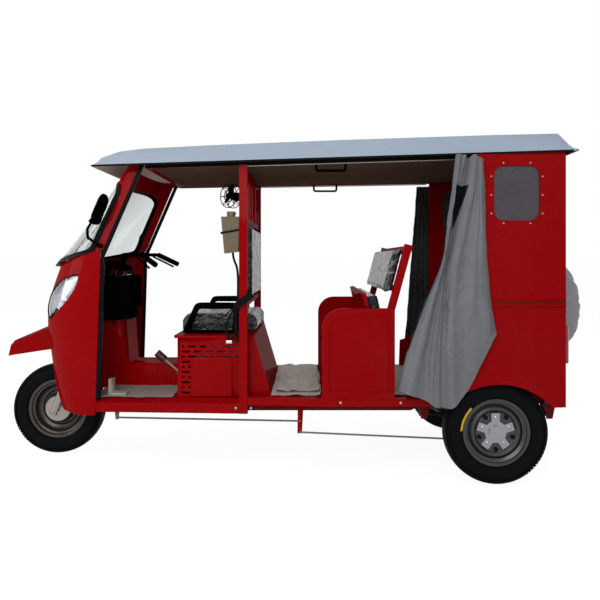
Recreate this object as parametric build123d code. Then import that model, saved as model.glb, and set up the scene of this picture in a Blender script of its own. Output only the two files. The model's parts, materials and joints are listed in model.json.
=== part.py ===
from build123d import *
import math
import os

# Millimetres. X runs from the nose (minus) to the tail, Y from the left side
# (minus) to the right, Z up from the ground, origin under the middle.

# Running gear
front_axle_x = -1405
wheelbase = 2525
rear_axle_x = front_axle_x + wheelbase
rear_track = 1040
tyre_radius = 275
tyre_width = 115
tyre_shoulder_drop = 13
tyre_bulge = 8
rim_seat_radius = 166
rim_seat_width = 76
rim_flange_height = 12
rim_wall = 5
rim_well_depth = 19
rim_well_radius = rim_seat_radius - rim_well_depth
axle_z = tyre_radius
wheel_y = rear_track / 2
brake_drum_radius = 98
drum_inner_y = 432
drum_outer_y = 500
axle_tube_radius = 32
hub_radius = 40
running_gap = 0.3
seat_gap = 0.3

# Steering
rake = 21
fork_offset = 46.5
fork_leg_y = 92
fork_leg_radius = 22
fork_tube_radius = 17
fork_leg_length = 440
stem_radius = 16
stem_top = 40
clamp_thickness = 26
crown_drop = 330
head_tube_radius = 26
neck_front = 970
neck_depth = 22
neck_half = 28
front_axle_radius = 9
brake_plate_radius = 78
handlebar_radius = 11
grip_radius = 16
mudguard_half_width = 62
mudguard_tip_x = -1719
mudguard_tip_z = 600
mudguard_wall = 4
mudguard_lug_along = -525

# Dash
dash_face_x = -950
dash_face_half = 70
dash_taper_x = -1150
dash_wall = 5
dash_top_z = 1085
cluster_x = -1212

# Cab shell
nose_half_width = 450
nose_wall = 5
nose_bottom_z = 338
nose_cowl_front_z = 1150
nose_cowl_slope = 0.243
cowl_flange = 34
nose_opening_half = 240
nose_opening_top = 805
screen_wall = 5
screen_seal_width = 30
screen_post_wall = 26
screen_rear_x = -1003
screen_rear_z = 1163
screen_rear_slope = 0.435
screen_post_width = 46
screen_top = 1712
seal_top = 1630
door_bead_width = 24
post_inset = door_bead_width + screen_post_width
glass_inset = post_inset + screen_seal_width
glass_top = 1616
seal_low = 24
housing_half = 236
housing_wall = 4
housing_top_z = 826
housing_taper_x = -1110
housing_waist_x = -1040
housing_rear_x = -966
housing_foot_x = -940
swing_radius = 150
tunnel_half = 104
tunnel_top_z = 566

# Floor and sills
front_floor_z = 428
rear_floor_z = 446
floor_plate = 4
floor_front_x = -1036
cab_half_width = 448
pillar_half_width = 490
cabin_half_width = 530
cabin_front_x = 200
sill_height = 72
sill_width = 56
tread_slope = 20
main_rail_y = 350
spring_y = 400
spring_width = 44
spring_front_x = 764
spring_rear_x = 1452
spring_eye_z = 338
main_rail_width = 40
main_rail_height = 78

# Pillars, partition and roof
pillar_x = -222
pillar_size = 45
roof_front_x = -1043
roof_rear_x = 1525
roof_front_half = 500
roof_rear_half = 622
roof_edge_x = -450
roof_edge_z = 1703
roof_edge_slope = 0.0235
roof_wall = 8
liner_thickness = 8
roof_rail_size = 32
roof_rail_drop = 10
roof_rail_inset = 62

# Engine and gearbox
engine_front_x = -520
engine_rear_x = -264
engine_half = 150
engine_low_z = 304
engine_height = 336

# Driver's place
seat_front_x = -594
seat_half_width = 405
seat_top_z = 754
seat_wall = 4
seat_cushion_height = 104
armrest_y = 312
armrest_thickness = 38
seat_cushion_rear_x = -150
seat_slope_top_x = -170
seat_slope_foot_x = -78
vent_length = 45
vent_height = 10
vent_pitch_x = 65.6
vent_pitch_z = 28.2
vent_first_x = -548
vent_top_z = 707
back_pad_bottom = 962
back_pad_top = 1388
back_pad_thickness = 62

# Middle bench
bench_front_x = 201
bench_rear_x = 589
bench_top_z = 927
bench_corner = 110
bench_panel = 26
bench_seat_z = 684
fold_x = 517
fold_z = bench_seat_z
fold_lean = 13
fold_seat_length = 330
fold_seat_gap = 49
fold_seat_half = cabin_half_width - bench_panel - fold_seat_gap
fold_pan_thickness = 22
fold_cushion_thickness = 56
bench_back_recline = 15
bench_back_foot_x = 540
fold_pin_radius = 8

# Rear body
body_front_x = 1000
body_rear_x = 1468
body_half_width = 600
body_wall = 20
body_bottom_z = 418
body_arch_radius = 312
arch_edge_radius = 380
arch_edge_top = 538
flare_width = 58
flare_proud = 12
body_skirt_front_x = 790
window_front_x = 1094
window_rear_x = 1333
window_bottom_z = 1390
window_top_z = 1676
window_corner = 50
window_pane = 4
rear_seat_z = 790
bench_cushion_gap = 20
spare_radius = 270
spare_depth = 250
spare_z = 908
plate_bolt_spacing = 180
plate_bolt_z = 540
plate_bolt_radius = 3.5

# Driver's fan
fan_x = -341
fan_y = -60
fan_z = 1575
fan_turn = 49
fan_radius = 72

# Curtains
curtain_gap = flare_proud + seat_gap
curtain_thickness = 34

# Outlines shared by several pieces
def block(x0, x1, y0, y1, z0, z1):
    """A plain box between two corners."""
    centre = Pos((x0 + x1) / 2, (y0 + y1) / 2, (z0 + z1) / 2)
    return centre * Box(x1 - x0, y1 - y0, z1 - z0)


def side_face(points, y):
    """A face in the side view, from (x, z) points, at one distance y."""
    return make_face(Polyline(*[(x, y, z) for x, z in points], close=True))


def side_prism(points, y0, y1):
    """A side outline drawn out from y0 to y1."""
    return extrude(side_face(points, y0), y1 - y0, dir=(0, 1, 0))


def plan_prism(points, z0, z1):
    """A plan outline of (x, y) points drawn up from z0 to z1."""
    face = make_face(Polyline(*[(x, y, z0) for x, y in points], close=True))
    return extrude(face, z1 - z0, dir=(0, 0, 1))


def rod(start, end, radius):
    """A round bar between two points."""
    first = Vector(*start)
    run = Vector(*end) - first
    return extrude(Plane(origin=first, z_dir=run) * Circle(radius), run.length)


def bent_bar(points, bends, radius):
    """A round bar along straight runs with rounded bends."""
    path = FilletPolyline(*points, radius=bends)
    start = Plane(origin=path @ 0, z_dir=path % 0)
    return sweep(start * Circle(radius), path=path)


def mirrored(shape):
    """The same piece on the other side."""
    return mirror(shape, about=Plane.XZ)


def both_sides(shape):
    """A piece and its mirror image, as one shape."""
    return shape + mirrored(shape)


def save(name, *shapes):
    """Write one node, with all its solids, to its own file."""
    solids = [solid for shape in shapes for solid in shape.solids()]
    export_step(Compound(solids), f"parts/{name}.step")


def roof_under(x):
    """Height of the roof's lower edge, which rises gently to the rear."""
    return roof_edge_z + (x - roof_edge_x) * roof_edge_slope


def roof_half(x):
    """Half width of the roof, which widens to the rear."""
    share = (x - roof_front_x) / (roof_rear_x - roof_front_x)
    return roof_front_half + share * (roof_rear_half - roof_front_half)


def floor_half(x):
    """Half width of the floor: narrow at the nose, full width in the cabin."""
    if x <= pillar_x:
        share = (x - floor_front_x) / (pillar_x - floor_front_x)
        return cab_half_width + share * (pillar_half_width - cab_half_width)
    share = min(1, (x - pillar_x) / (cabin_front_x - pillar_x))
    return pillar_half_width + share * (cabin_half_width - pillar_half_width)


# Wheels
def wheel_place(shape, x, y):
    """Move a wheel piece from the origin to its axle."""
    return Pos(x, y, axle_z) * shape


def tyre():
    """A road tyre turned about its axle, with bulging sidewalls and a crowned tread."""
    half_seat = rim_seat_width / 2
    half_width = tyre_width / 2
    bead_top = rim_seat_radius + rim_flange_height + 2
    shoulder_r = tyre_radius - tyre_shoulder_drop
    right = [
        (rim_seat_radius, half_seat - running_gap), (bead_top, half_seat - running_gap), (bead_top + 22, half_width - 2),
        (bead_top + 44, half_width), (shoulder_r - 14, half_width - 4), (shoulder_r, half_width - tyre_bulge),
        (tyre_radius - 3, half_width * 0.5), (tyre_radius, half_width * 0.18),
    ]
    outline = right + [(r, -y) for r, y in reversed(right)]
    return revolve(make_face(Polyline(*outline, close=True)), axis=Axis.Y)


def rim_barrel():
    """The rolled steel ring that the tyre sits on."""
    seat = rim_seat_radius - running_gap
    half = rim_seat_width / 2
    flange = rim_seat_radius + rim_flange_height
    inner = seat - rim_wall
    well_inner = rim_well_radius - rim_wall
    outline = [
        (flange, half + rim_wall), (flange, half), (seat, half), (seat, half - 10),
        (rim_well_radius, half - 20), (rim_well_radius, 20 - half), (seat, 10 - half),
        (seat, -half), (flange, -half), (flange, -half - rim_wall), (inner, -half - rim_wall),
        (inner, 7 - half), (well_inner, 17 - half), (well_inner, half - 17),
        (inner, half - 7), (inner, half + rim_wall),
    ]
    return revolve(make_face(Polyline(*outline, close=True)), axis=Axis.Y)


def rear_rim():
    """Barrel and pressed disc, outer face toward minus Y."""
    edge = rim_well_radius - 2
    disc_outline = [
        (0, -14), (104, -14), (117, -30), (127, -30), (edge, -14),
        (edge, -7), (125, -23), (119, -23), (107, -7), (0, -7),
    ]
    disc = revolve(make_face(Polyline(*disc_outline, close=True)), axis=Axis.Y)
    hole = Rot(90, 0, 0) * Cylinder(11, 60)
    for turn in range(5):
        angle = math.radians(90 + 36 + turn * 72)
        disc -= Pos(92 * math.cos(angle), -15, 92 * math.sin(angle)) * hole
    return rim_barrel() + disc


def hub_cover():
    """Five-lobed bright cover over the wheel nuts, outer face toward minus Y."""
    plate = Circle(58)
    for turn in range(5):
        lobe = Pos(70, 0) * Rectangle(58, 44)
        plate += Rot(0, 0, 90 + turn * 72) * lobe
    body = extrude(Plane(origin=(0, -14, 0), z_dir=(0, -1, 0)) * plate, 9)
    cap = Pos(0, -27, 0) * Rot(90, 0, 0) * Cylinder(34, 10)
    return body + cap


def front_rim():
    """Barrel, disc and hub of the front wheel, bored for its axle."""
    edge = rim_well_radius - 2
    disc_outline = [
        (0, 12), (96, 12), (112, 26), (124, 26), (edge, 10),
        (edge, 4), (122, 20), (114, 20), (99, 5), (0, 5),
    ]
    disc = revolve(make_face(Polyline(*disc_outline, close=True)), axis=Axis.Y)
    drum = Pos(0, -9, 0) * Rot(90, 0, 0) * (Cylinder(84, 50) - Pos(0, 0, 4) * Cylinder(78, 50))
    hub = Pos(0, 16, 0) * Rot(90, 0, 0) * Cylinder(28, 66)
    bore = Rot(90, 0, 0) * Cylinder(front_axle_radius + running_gap, 200)
    return rim_barrel() + disc + drum + hub - bore


# Steering fork, handlebar and mudguard
def on_steering_axis(along, ahead, y):
    """A point from the steering axis: along it, ahead of it and to the side."""
    angle = math.radians(rake)
    axle_along, axle_ahead = fork_reach(), fork_offset
    x = front_axle_x + (along + axle_along) * math.sin(angle)
    x += (axle_ahead - ahead) * math.cos(angle)
    z = axle_z + (along + axle_along) * math.cos(angle)
    z += (ahead - axle_ahead) * math.sin(angle)
    return (x, y, z)


def fork_reach():
    """Distance along the steering axis from the handlebar clamp to the axle."""
    return 998


def steering_block(along0, along1, ahead0, ahead1, half_width):
    """A block square to the steering axis."""
    centre = on_steering_axis((along0 + along1) / 2, (ahead0 + ahead1) / 2, 0)
    solid = Box(ahead1 - ahead0, 2 * half_width, along1 - along0)
    return Pos(*centre) * Rot(0, rake, 0) * solid


def front_fork():
    """Telescopic fork with both clamps, stem, axle and brake back plate."""
    reach = fork_reach()
    leg_top = -reach + fork_leg_length
    legs = rod(on_steering_axis(-reach - 22, fork_offset, fork_leg_y),
               on_steering_axis(leg_top, fork_offset, fork_leg_y), fork_leg_radius)
    legs += rod(on_steering_axis(leg_top - 5, fork_offset, fork_leg_y),
                on_steering_axis(-stem_top + 8, fork_offset, fork_leg_y), fork_tube_radius)
    fork = both_sides(legs)
    wide = fork_leg_y + fork_tube_radius + 8
    fork += steering_block(-crown_drop, -crown_drop + clamp_thickness, -26, fork_offset + 24, wide)
    fork += steering_block(-stem_top - clamp_thickness, -stem_top, -26, fork_offset + 24, wide)
    fork += rod(on_steering_axis(-crown_drop, 0, 0), on_steering_axis(-stem_top, 0, 0), stem_radius)
    axle_half = fork_leg_y + fork_leg_radius + 10
    fork += rod((front_axle_x, -axle_half, axle_z), (front_axle_x, axle_half, axle_z), front_axle_radius)
    plate_y = -35
    plate = rod((front_axle_x, plate_y - 6, axle_z), (front_axle_x, plate_y, axle_z), brake_plate_radius - 2)
    plate += rod((front_axle_x, -fork_leg_y, axle_z), (front_axle_x, plate_y, axle_z), 18)
    return fork + plate


def handlebar():
    """Swept-back bar with its grips, levers and clamp."""
    foot = on_steering_axis(-stem_top, 10, 0)
    centre = on_steering_axis(22, 10, 0)
    inner = (centre[0] + 10, -70, centre[2] + 4)
    grip_start = (-849, -200, 1218)
    grip_end = (-742, -298, 1157)
    mirror_of = [(p[0], -p[1], p[2]) for p in (grip_end, grip_start, inner)]
    path = [grip_end, grip_start, inner, *mirror_of[::-1]]
    bar = bent_bar(path, 40, handlebar_radius)
    bar += rod(foot, centre, 20)
    grip = rod(grip_start, grip_end, grip_radius)
    lever = rod((-880, -196, 1206), (-775, -312, 1140), 6)
    lever += rod((-880, -196, 1206), (-868, -184, 1226), 8)
    return bar + both_sides(grip) + both_sides(lever)


def front_mudguard():
    """Beak-shaped mudguard over the front wheel, open below."""
    outline = [
        (mudguard_tip_x, mudguard_tip_z), (mudguard_tip_x + 54, 672), (-1464, 766),
        (-1290, 800), (-1225, 778), (-1225, 650), (-1449, 640),
    ]
    inner = [
        (mudguard_tip_x - 6, mudguard_tip_z - 12), (mudguard_tip_x + 56, 667), (-1464, 761),
        (-1290, 795), (-1230, 774), (-1230, 600), (-1449, 600),
    ]
    w = mudguard_half_width
    shell = side_prism(outline, -w, w)
    shell = chamfer(shell.edges().filter_by(GeomType.LINE).filter_by(
        lambda e: abs(e.center().Y) > w - 1 and e.center().Z > 700), 14)
    shell -= side_prism(inner, mudguard_wall - w, w - mudguard_wall)
    lug_x, _, lug_z = on_steering_axis(mudguard_lug_along, fork_offset, 0)
    lug = rod((lug_x, -fork_leg_y + fork_tube_radius + seat_gap, lug_z), (lug_x, 1 - w, lug_z), 13)
    return shell + both_sides(lug)


# Nose and windscreen
def nose_rear(z):
    """Line of the nose's rear edge, beside the door opening."""
    return -1034 + (z - nose_bottom_z) * 0.0328


def nose_section(z, out=0):
    """Plan outline of the nose at one height: a half ellipse, closed behind."""
    stations = [(200, -1290), (340, -1345), (480, -1390), (680, -1427),
                (860, -1441), (1000, -1415), (1138, -1363), (1300, -1290)]
    front = stations[-1][1]
    for (z0, x0), (z1, x1) in zip(stations, stations[1:]):
        if z0 <= z <= z1:
            front = x0 + (z - z0) / (z1 - z0) * (x1 - x0)
    rear = nose_rear(z)
    half = nose_half_width + out
    arc = EllipticalCenterArc((rear, 0, z), rear - front + out, half, start_angle=90, arc_size=180)
    return arc, rear, half


def nose_solid(out):
    """The nose as a solid, its face moved outward by a distance."""
    faces = []
    for z in (200, 340, 480, 680, 860, 1000, 1138, 1300):
        arc, rear, half = nose_section(z, out)
        close = Line(arc @ 1, arc @ 0)
        faces.append(make_face([arc, close]))
    return loft(faces)


def cowl_line(x):
    """Height of the nose's top edge, which rises from the front to the doors."""
    return nose_cowl_front_z + (x + 1370) * nose_cowl_slope


def nose_cutter():
    """Everything between the nose's bottom edge and its sloping top edge."""
    return side_prism([(-1600, nose_bottom_z), (-900, nose_bottom_z),
                       (-900, cowl_line(-900)), (-1600, cowl_line(-1600))], -700, 700)


def lamp_prism(shrink=0):
    """Almond outline of the left headlamp in the front view."""
    mid_y, mid_z = 330, 975
    points = [(422, 1102), (365, 1080), (300, 1034), (232, 950), (283, 852), (365, 915), (410, 1000)]
    moved = []
    for y, z in points:
        reach = math.hypot(y - mid_y, z - mid_z)
        share = (reach - shrink) / reach
        moved.append((-1600, -(mid_y + (y - mid_y) * share), mid_z + (z - mid_z) * share))
    upper = Spline(moved[0], moved[1], moved[2], moved[3], moved[4])
    lower = Spline(moved[4], moved[5], moved[6], moved[0])
    return extrude(make_face([upper, lower]), 540, dir=(1, 0, 0))


def wheel_opening():
    """The gap in the nose that the fork and mudguard swing in."""
    w = nose_opening_half
    gap = block(-1700, -1045, -w, w, 100, nose_opening_top)
    return fillet(gap.edges().filter_by(Axis.X).group_by(Axis.Z)[-1], 70)


def nose_shell():
    """The pressed nose panel with its wheel gap and lamp holes."""
    shell = nose_solid(0) - Pos(1, 0, 0) * nose_solid(-nose_wall)
    shell &= nose_cutter()
    flange = nose_solid(-1) - Pos(cowl_flange, 0, 0) * nose_solid(-cowl_flange)
    shell += flange & side_prism([(-1600, cowl_line(-1600) - 4), (-900, cowl_line(-900) - 4),
                                  (-900, cowl_line(-900)), (-1600, cowl_line(-1600))], -700, 700)
    shell -= wheel_opening()
    return shell - both_sides(lamp_prism())


def headlamps():
    """Almond lamps that stand a little proud of the nose."""
    body = (nose_solid(5) - nose_solid(-18)) & lamp_prism(seat_gap)
    return both_sides(body)


def screen_solid(out):
    """The raked windscreen as a solid: half ellipses with straight sides."""
    faces = []
    for z in (1120, 1760):
        rise = z - 1184
        side = -1060 + 0.405 * rise
        reach = 295 - 0.4514 * rise + out
        half = 440 - 0.0463 * rise + out
        reach = max(reach, 34)
        arc = EllipticalCenterArc((side, 0, z), reach, half, start_angle=90, arc_size=180)
        back = side + 240
        sides = Polyline(arc @ 1, (back, -(arc @ 0).Y, z), (back, (arc @ 0).Y, z), arc @ 0)
        faces.append(make_face([arc, sides]))
    return loft(faces, ruled=True)


def screen_rear(z):
    """Line of the door opening's front edge."""
    return screen_rear_x + screen_rear_slope * (z - screen_rear_z)


def screen_outline(inset, low, top):
    """Side view of the screen, inward from the door line and up from the cowl."""
    low_x = screen_rear(cowl_line(-1000)) - inset
    high_x = screen_rear(top) - inset
    return [(-1600, cowl_line(-1600) + low), (low_x, cowl_line(low_x) + low), (high_x, top), (-1600, top)]


def rounded_side_prism(points, radius):
    """A side outline, 1400 wide, with its two rear corners rounded."""
    prism = side_prism(points, -700, 700)
    rear = prism.edges().filter_by(Axis.Y).sort_by(Axis.X)[-2:]
    return fillet(rear, radius)


def windscreen_frame():
    """Pressed red surround: both slanted door posts and the header."""
    shell = screen_solid(2) - screen_solid(2 - screen_post_wall)
    outer = side_prism(screen_outline(door_bead_width, seat_gap, screen_top), -700, 700)
    inner = rounded_side_prism(screen_outline(post_inset, seat_gap, seal_top), 60)
    return (shell & outer) - inner


def windscreen_seal():
    """Black rubber channel round the glass."""
    shell = screen_solid(6) - screen_solid(6 - 16)
    outer = rounded_side_prism(screen_outline(post_inset, seat_gap, seal_top), 60)
    inner = rounded_side_prism(screen_outline(glass_inset, seal_low, glass_top), 44)
    return (shell & outer) - inner


def windscreen_glass():
    """Curved pane that wraps round to both door posts."""
    shell = screen_solid(0) - screen_solid(-screen_wall)
    return shell & rounded_side_prism(screen_outline(glass_inset, seal_low, glass_top), 44)


def door_seals():
    """Rubber beads up the nose's rear edges and the door posts."""
    low = front_floor_z + seat_gap
    bend = 1240
    foot = (nose_rear(low) + door_bead_width, low)
    head = (screen_rear(screen_top), screen_top)
    inset = door_bead_width - 0.6
    outline = [(nose_rear(low) + 0.6, low), (nose_rear(bend) + 0.6, bend - 3), (screen_rear(bend) - inset, bend),
               (head[0] - inset, screen_top), head, (screen_rear(1190), 1190), (nose_rear(1150) + 22, 1150), foot]
    return both_sides(side_prism(outline, -nose_half_width, 18 - nose_half_width))


def swing_room():
    """Round space about the steering axis that the fork turns in."""
    return rod(on_steering_axis(-480, 0, 0), on_steering_axis(-150, 0, 0), swing_radius)


def housing_plan(inset, rear_x, z0, z1):
    """Plan of the wheel housing, wide over the wheel and narrow behind the fork."""
    h, waist = housing_half - inset, tunnel_half - 4 - inset
    left = [(-1340, -h), (housing_taper_x, -h), (housing_waist_x, -waist), (rear_x, -waist)]
    right = [(x, -y) for x, y in reversed(left)]
    return plan_prism(left + right, z0, z1)


def wheel_housing():
    """Inner box over the front wheel, with the low ribbed tunnel behind it."""
    w = housing_wall
    foot_z = front_floor_z + 1
    outline = [(-1340, housing_top_z), (housing_rear_x, housing_top_z), (housing_foot_x, foot_z), (-1290, foot_z)]
    box = side_prism(outline, -housing_half, housing_half) & housing_plan(0, housing_foot_x + 1, 300, 900)
    hollow = [(-1400, housing_top_z - w), (housing_rear_x - w, housing_top_z - w),
              (housing_foot_x - w, front_floor_z - 20), (-1400, front_floor_z - 20)]
    room = housing_plan(w, housing_foot_x + 1, 300, 900) + block(-1400, -1339, w - housing_half, housing_half - w, 300, 900)
    box -= side_prism(hollow, -housing_half, housing_half) & room
    box -= swing_room()
    tunnel_front = housing_foot_x - 14
    tunnel = block(tunnel_front, seat_front_x - 1, -tunnel_half, tunnel_half, front_floor_z, tunnel_top_z)
    tunnel -= block(tunnel_front - 40, seat_front_x + 5, w - tunnel_half, tunnel_half - w, 0, tunnel_top_z - w)
    for x in (-880, -800, -720):
        rib = block(x, x + 22, -tunnel_half - 3, 4 - tunnel_half, front_floor_z, tunnel_top_z - 12)
        tunnel += both_sides(rib)
    return box + tunnel


def dash_plan(inset, z0, z1):
    """Plan of the dash body, tapering back between the driver's knees."""
    h, face = housing_half - inset, dash_face_half - inset
    left = [(cluster_x, -h), (dash_taper_x, -h), (dash_face_x - inset, -face)]
    right = [(x, -y) for x, y in reversed(left)]
    return plan_prism(left + right, z0, z1)


def dash_pocket(depth_out, depth_in, inset):
    """A block on the dash's slanted left face, as large as its pocket less an inset."""
    run_x, run_y = dash_face_x - dash_taper_x, housing_half - dash_face_half
    turn = math.degrees(math.atan2(run_y, run_x))
    length = math.hypot(run_x, run_y) - 90 - 2 * inset
    height = dash_top_z - housing_top_z - 70 - 2 * inset
    body = Box(length, depth_out + depth_in, height)
    body = fillet(body.edges().filter_by(Axis.Y), 24)
    middle = Pos((dash_taper_x + dash_face_x) / 2 + 14, -(housing_half + dash_face_half) / 2 + 11, 0)
    return middle * Pos(0, 0, (dash_top_z + housing_top_z) / 2) * Rot(0, 0, turn) * Pos(0, (depth_in - depth_out) / 2, 0) * body


def dash_panel():
    """Black dash: tapered body round the steering, side pocket, shelf and cluster hood."""
    h = housing_half
    w = dash_wall
    low = housing_top_z + seat_gap
    body = dash_plan(0, low, dash_top_z) - dash_plan(w, low + w, dash_top_z + 5)
    body -= block(cluster_x - 5, cluster_x + w + 1, w - h, h - w, low + w, dash_top_z + 5)
    body -= block(-neck_front - neck_depth - seat_gap, -neck_front + seat_gap, -neck_half - seat_gap,
                  neck_half + seat_gap, low - 1, low + w + 1)
    body += dash_pocket(8, 4, 0)
    body -= dash_pocket(12, -2, 12)
    body += block(dash_face_x - 60, dash_face_x, -dash_face_half, dash_face_half, dash_top_z - w, dash_top_z)
    hood = side_prism([(cluster_x - 90, dash_top_z - 9), (cluster_x - 90, dash_top_z + 20), (cluster_x - 60, 1150),
                       (cluster_x, 1150), (cluster_x, dash_top_z - 9)], -130, 130)
    hood = fillet(hood.edges().filter_by(Axis.Y).group_by(Axis.Z)[-1], 18)
    shelf = block(cluster_x - 90, cluster_x + 1, w - h, h - w, dash_top_z - 35, dash_top_z - 8)
    wall_foot = block(cluster_x - 60, cluster_x + 1, h - w, h, dash_top_z - 60, dash_top_z)
    return body - swing_room() + hood + shelf + both_sides(wall_foot)


# Chassis, floor and sills
def floor_outline(x0, x1, inset):
    """Plan of the floor between two stations, both sides."""
    stops = [x0] + [x for x in (pillar_x, cabin_front_x) if x0 < x < x1] + [x1]
    left = [(x, -floor_half(x) + inset) for x in stops]
    right = [(x, floor_half(x) - inset) for x in reversed(stops)]
    return left + right


def floor_deck():
    """Sheet floor of the cab and of the cabin, one step apart."""
    front = plan_prism(floor_outline(-846, pillar_x - 30, sill_width), front_floor_z - floor_plate, front_floor_z)
    toe = block(-1020, -846, -floor_half(-1020) + sill_width, -tunnel_half - 1, front_floor_z - floor_plate,
                front_floor_z)
    rear = plan_prism(floor_outline(pillar_x - 20, 840, sill_width), rear_floor_z - floor_plate, rear_floor_z)
    rear += block(839, body_rear_x - body_wall, -440, 440, rear_floor_z - floor_plate, rear_floor_z)
    front -= block(engine_front_x - 12, -200, -engine_half - 12, engine_half + 12, 300, 700)
    return front + both_sides(toe), rear


def sill(x0, x1, z0, z1, slope):
    """Edge member along the left side of the floor, its top sloping outward."""
    stops = [x0] + [x for x in (pillar_x, cabin_front_x) if x0 < x < x1] + [x1]
    faces = []
    for x in stops:
        outer, inner = -floor_half(x), -floor_half(x) + sill_width
        points = [(x, outer, z0), (x, outer, z1 - slope), (x, inner - 6, z1), (x, inner, z1), (x, inner, z0)]
        faces.append(make_face(Polyline(*points, close=True)))
    return loft(faces, ruled=True)


def side_sills():
    """Tread-plate steps of the cab and the cabin's lower rails."""
    step = sill(nose_rear(front_floor_z) + seat_gap, pillar_x - pillar_size / 2 - seat_gap,
                front_floor_z - sill_height, front_floor_z, tread_slope)
    rail = sill(pillar_x + pillar_size / 2 + seat_gap, body_skirt_front_x + 40, rear_floor_z - 42, rear_floor_z, 0.5)
    return both_sides(step), both_sides(rail)


def head_tube():
    """Steering head tube on its neck, which stands on the wheel housing."""
    tube = rod(on_steering_axis(-crown_drop + clamp_thickness + running_gap, 0, 0),
               on_steering_axis(-stem_top - clamp_thickness - running_gap, 0, 0), head_tube_radius)
    foot_z = housing_top_z + seat_gap
    tube += side_prism([(-1072, 1000), (-1050, 1060), (-neck_front, 1060), (-neck_front, foot_z),
                        (-neck_front - neck_depth, foot_z), (-neck_front - neck_depth, 1000)], -neck_half, neck_half)
    return tube - rod(on_steering_axis(-crown_drop, 0, 0), on_steering_axis(0, 0, 0), stem_radius + running_gap)


def chassis_frame():
    """Two main rails, cross members and the spring hangers."""
    top = front_floor_z - floor_plate - 0.5
    low = top - main_rail_height
    y0 = main_rail_y - main_rail_width / 2
    y1 = main_rail_y + main_rail_width / 2
    rail = side_prism([(-1010, low), (700, low), (790, 384), (1446, 384), (1446, top), (-1010, top)], -y1, -y0)
    frame = both_sides(rail)
    for x in (-1000, engine_front_x - 36, engine_rear_x, 240, 640, 850, 1400):
        frame += block(x, x + 36, -y0 - 1, y0 + 1, 386, top - 2)
    frame += head_tube()
    for x in (spring_front_x, spring_rear_x):
        hanger = side_prism([(x - 34, 400), (x + 34, 400), (x + 16, spring_eye_z - 24), (x - 16, spring_eye_z - 24)],
                            -spring_y - spring_width / 2 - 8, -spring_y - spring_width / 2 - 1)
        tie = block(x - 30, x + 30, -spring_y - spring_width / 2 - 8, -y1 + 1, 386, 398)
        pin = rod((x, -spring_y - spring_width / 2 - 8, spring_eye_z), (x, -y1 + 2, spring_eye_z), 8)
        inner = side_prism([(x - 34, 400), (x + 34, 400), (x + 16, spring_eye_z - 24), (x - 16, spring_eye_z - 24)],
                           -y1 - 0.5, -y1 + 5)
        frame += both_sides(hanger + tie + pin + inner)
    return frame


# Roof
def roof_section(x, half, edge, lip, shoulder, crown):
    """Cross-section of the roof at one station."""
    tuck = 52
    top = edge + lip
    points = [(x, -half, edge), (x, -half, top), (x, tuck - half, shoulder)]
    arc = ThreePointArc(points[-1], (x, 0, crown), (x, half - tuck, shoulder))
    right = Polyline((x, half - tuck, shoulder), (x, half, top), (x, half, edge))
    left = Polyline(*points)
    return make_face([left, arc, right, Line((x, half, edge), (x, -half, edge))])


def roof_solid(inset):
    """The roof's outer form, made smaller all round by an inset."""
    stations = [
        (roof_front_x + inset, 4, 6, 10), (roof_front_x + 45, 18, 52, 62), (-900, 20, 82, 116),
        (-772, 20, 94, 136), (-400, 20, 101, 152), (300, 20, 106, 160), (1100, 20, 106, 154),
        (1440, 20, 102, 138), (roof_rear_x - inset, 10, 14, 20),
    ]
    faces = []
    for x, lip, shoulder, crown in stations:
        edge = roof_under(x) - (40 if inset else 0)
        drop = inset
        faces.append(roof_section(x, roof_half(x) - inset, edge, lip + (40 if inset else 0) - drop * 0.6,
                                  roof_under(x) + shoulder - drop, roof_under(x) + crown - drop))
    return loft(faces, ruled=True)


def roof_shell():
    """Pressed roof skin, hollow below."""
    shell = roof_solid(0) - roof_solid(roof_wall)
    return shell


def roof_band(inset0, inset1, x0, x1):
    """Plan ring under the roof's edge, between two insets."""
    outer = [(x0, -roof_half(x0) + inset0), (x1, -roof_half(x1) + inset0),
             (x1, roof_half(x1) - inset0), (x0, roof_half(x0) - inset0)]
    solid = plan_prism(outer, roof_edge_z - 200, roof_edge_z + 200)
    if inset1 is None:
        return solid
    gap = inset1 - inset0
    inner = [(x0 + gap, -roof_half(x0 + gap) + inset1), (x1 - gap, -roof_half(x1 - gap) + inset1),
             (x1 - gap, roof_half(x1 - gap) - inset1), (x0 + gap, roof_half(x0 + gap) - inset1)]
    return solid - plan_prism(inner, roof_edge_z - 200, roof_edge_z + 200)


def roof_slice(down, up):
    """Layer between two heights that follow the roof's lower edge."""
    x0, x1 = -1200, 1600
    return side_prism([(x0, roof_under(x0) + down), (x1, roof_under(x1) + down),
                       (x1, roof_under(x1) + up), (x0, roof_under(x0) + up)], -800, 800)


def roof_liner():
    """Headliner board inside the roof rails, under the cross bars."""
    inset = roof_rail_inset + roof_rail_size + seat_gap
    front = screen_rear(screen_top) + 3 + roof_rail_size + seat_gap
    band = roof_band(inset, None, front, body_rear_x - 30 - roof_rail_size - seat_gap)
    return band & roof_slice(2 - roof_rail_drop, 2 - roof_rail_drop + liner_thickness)


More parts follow.
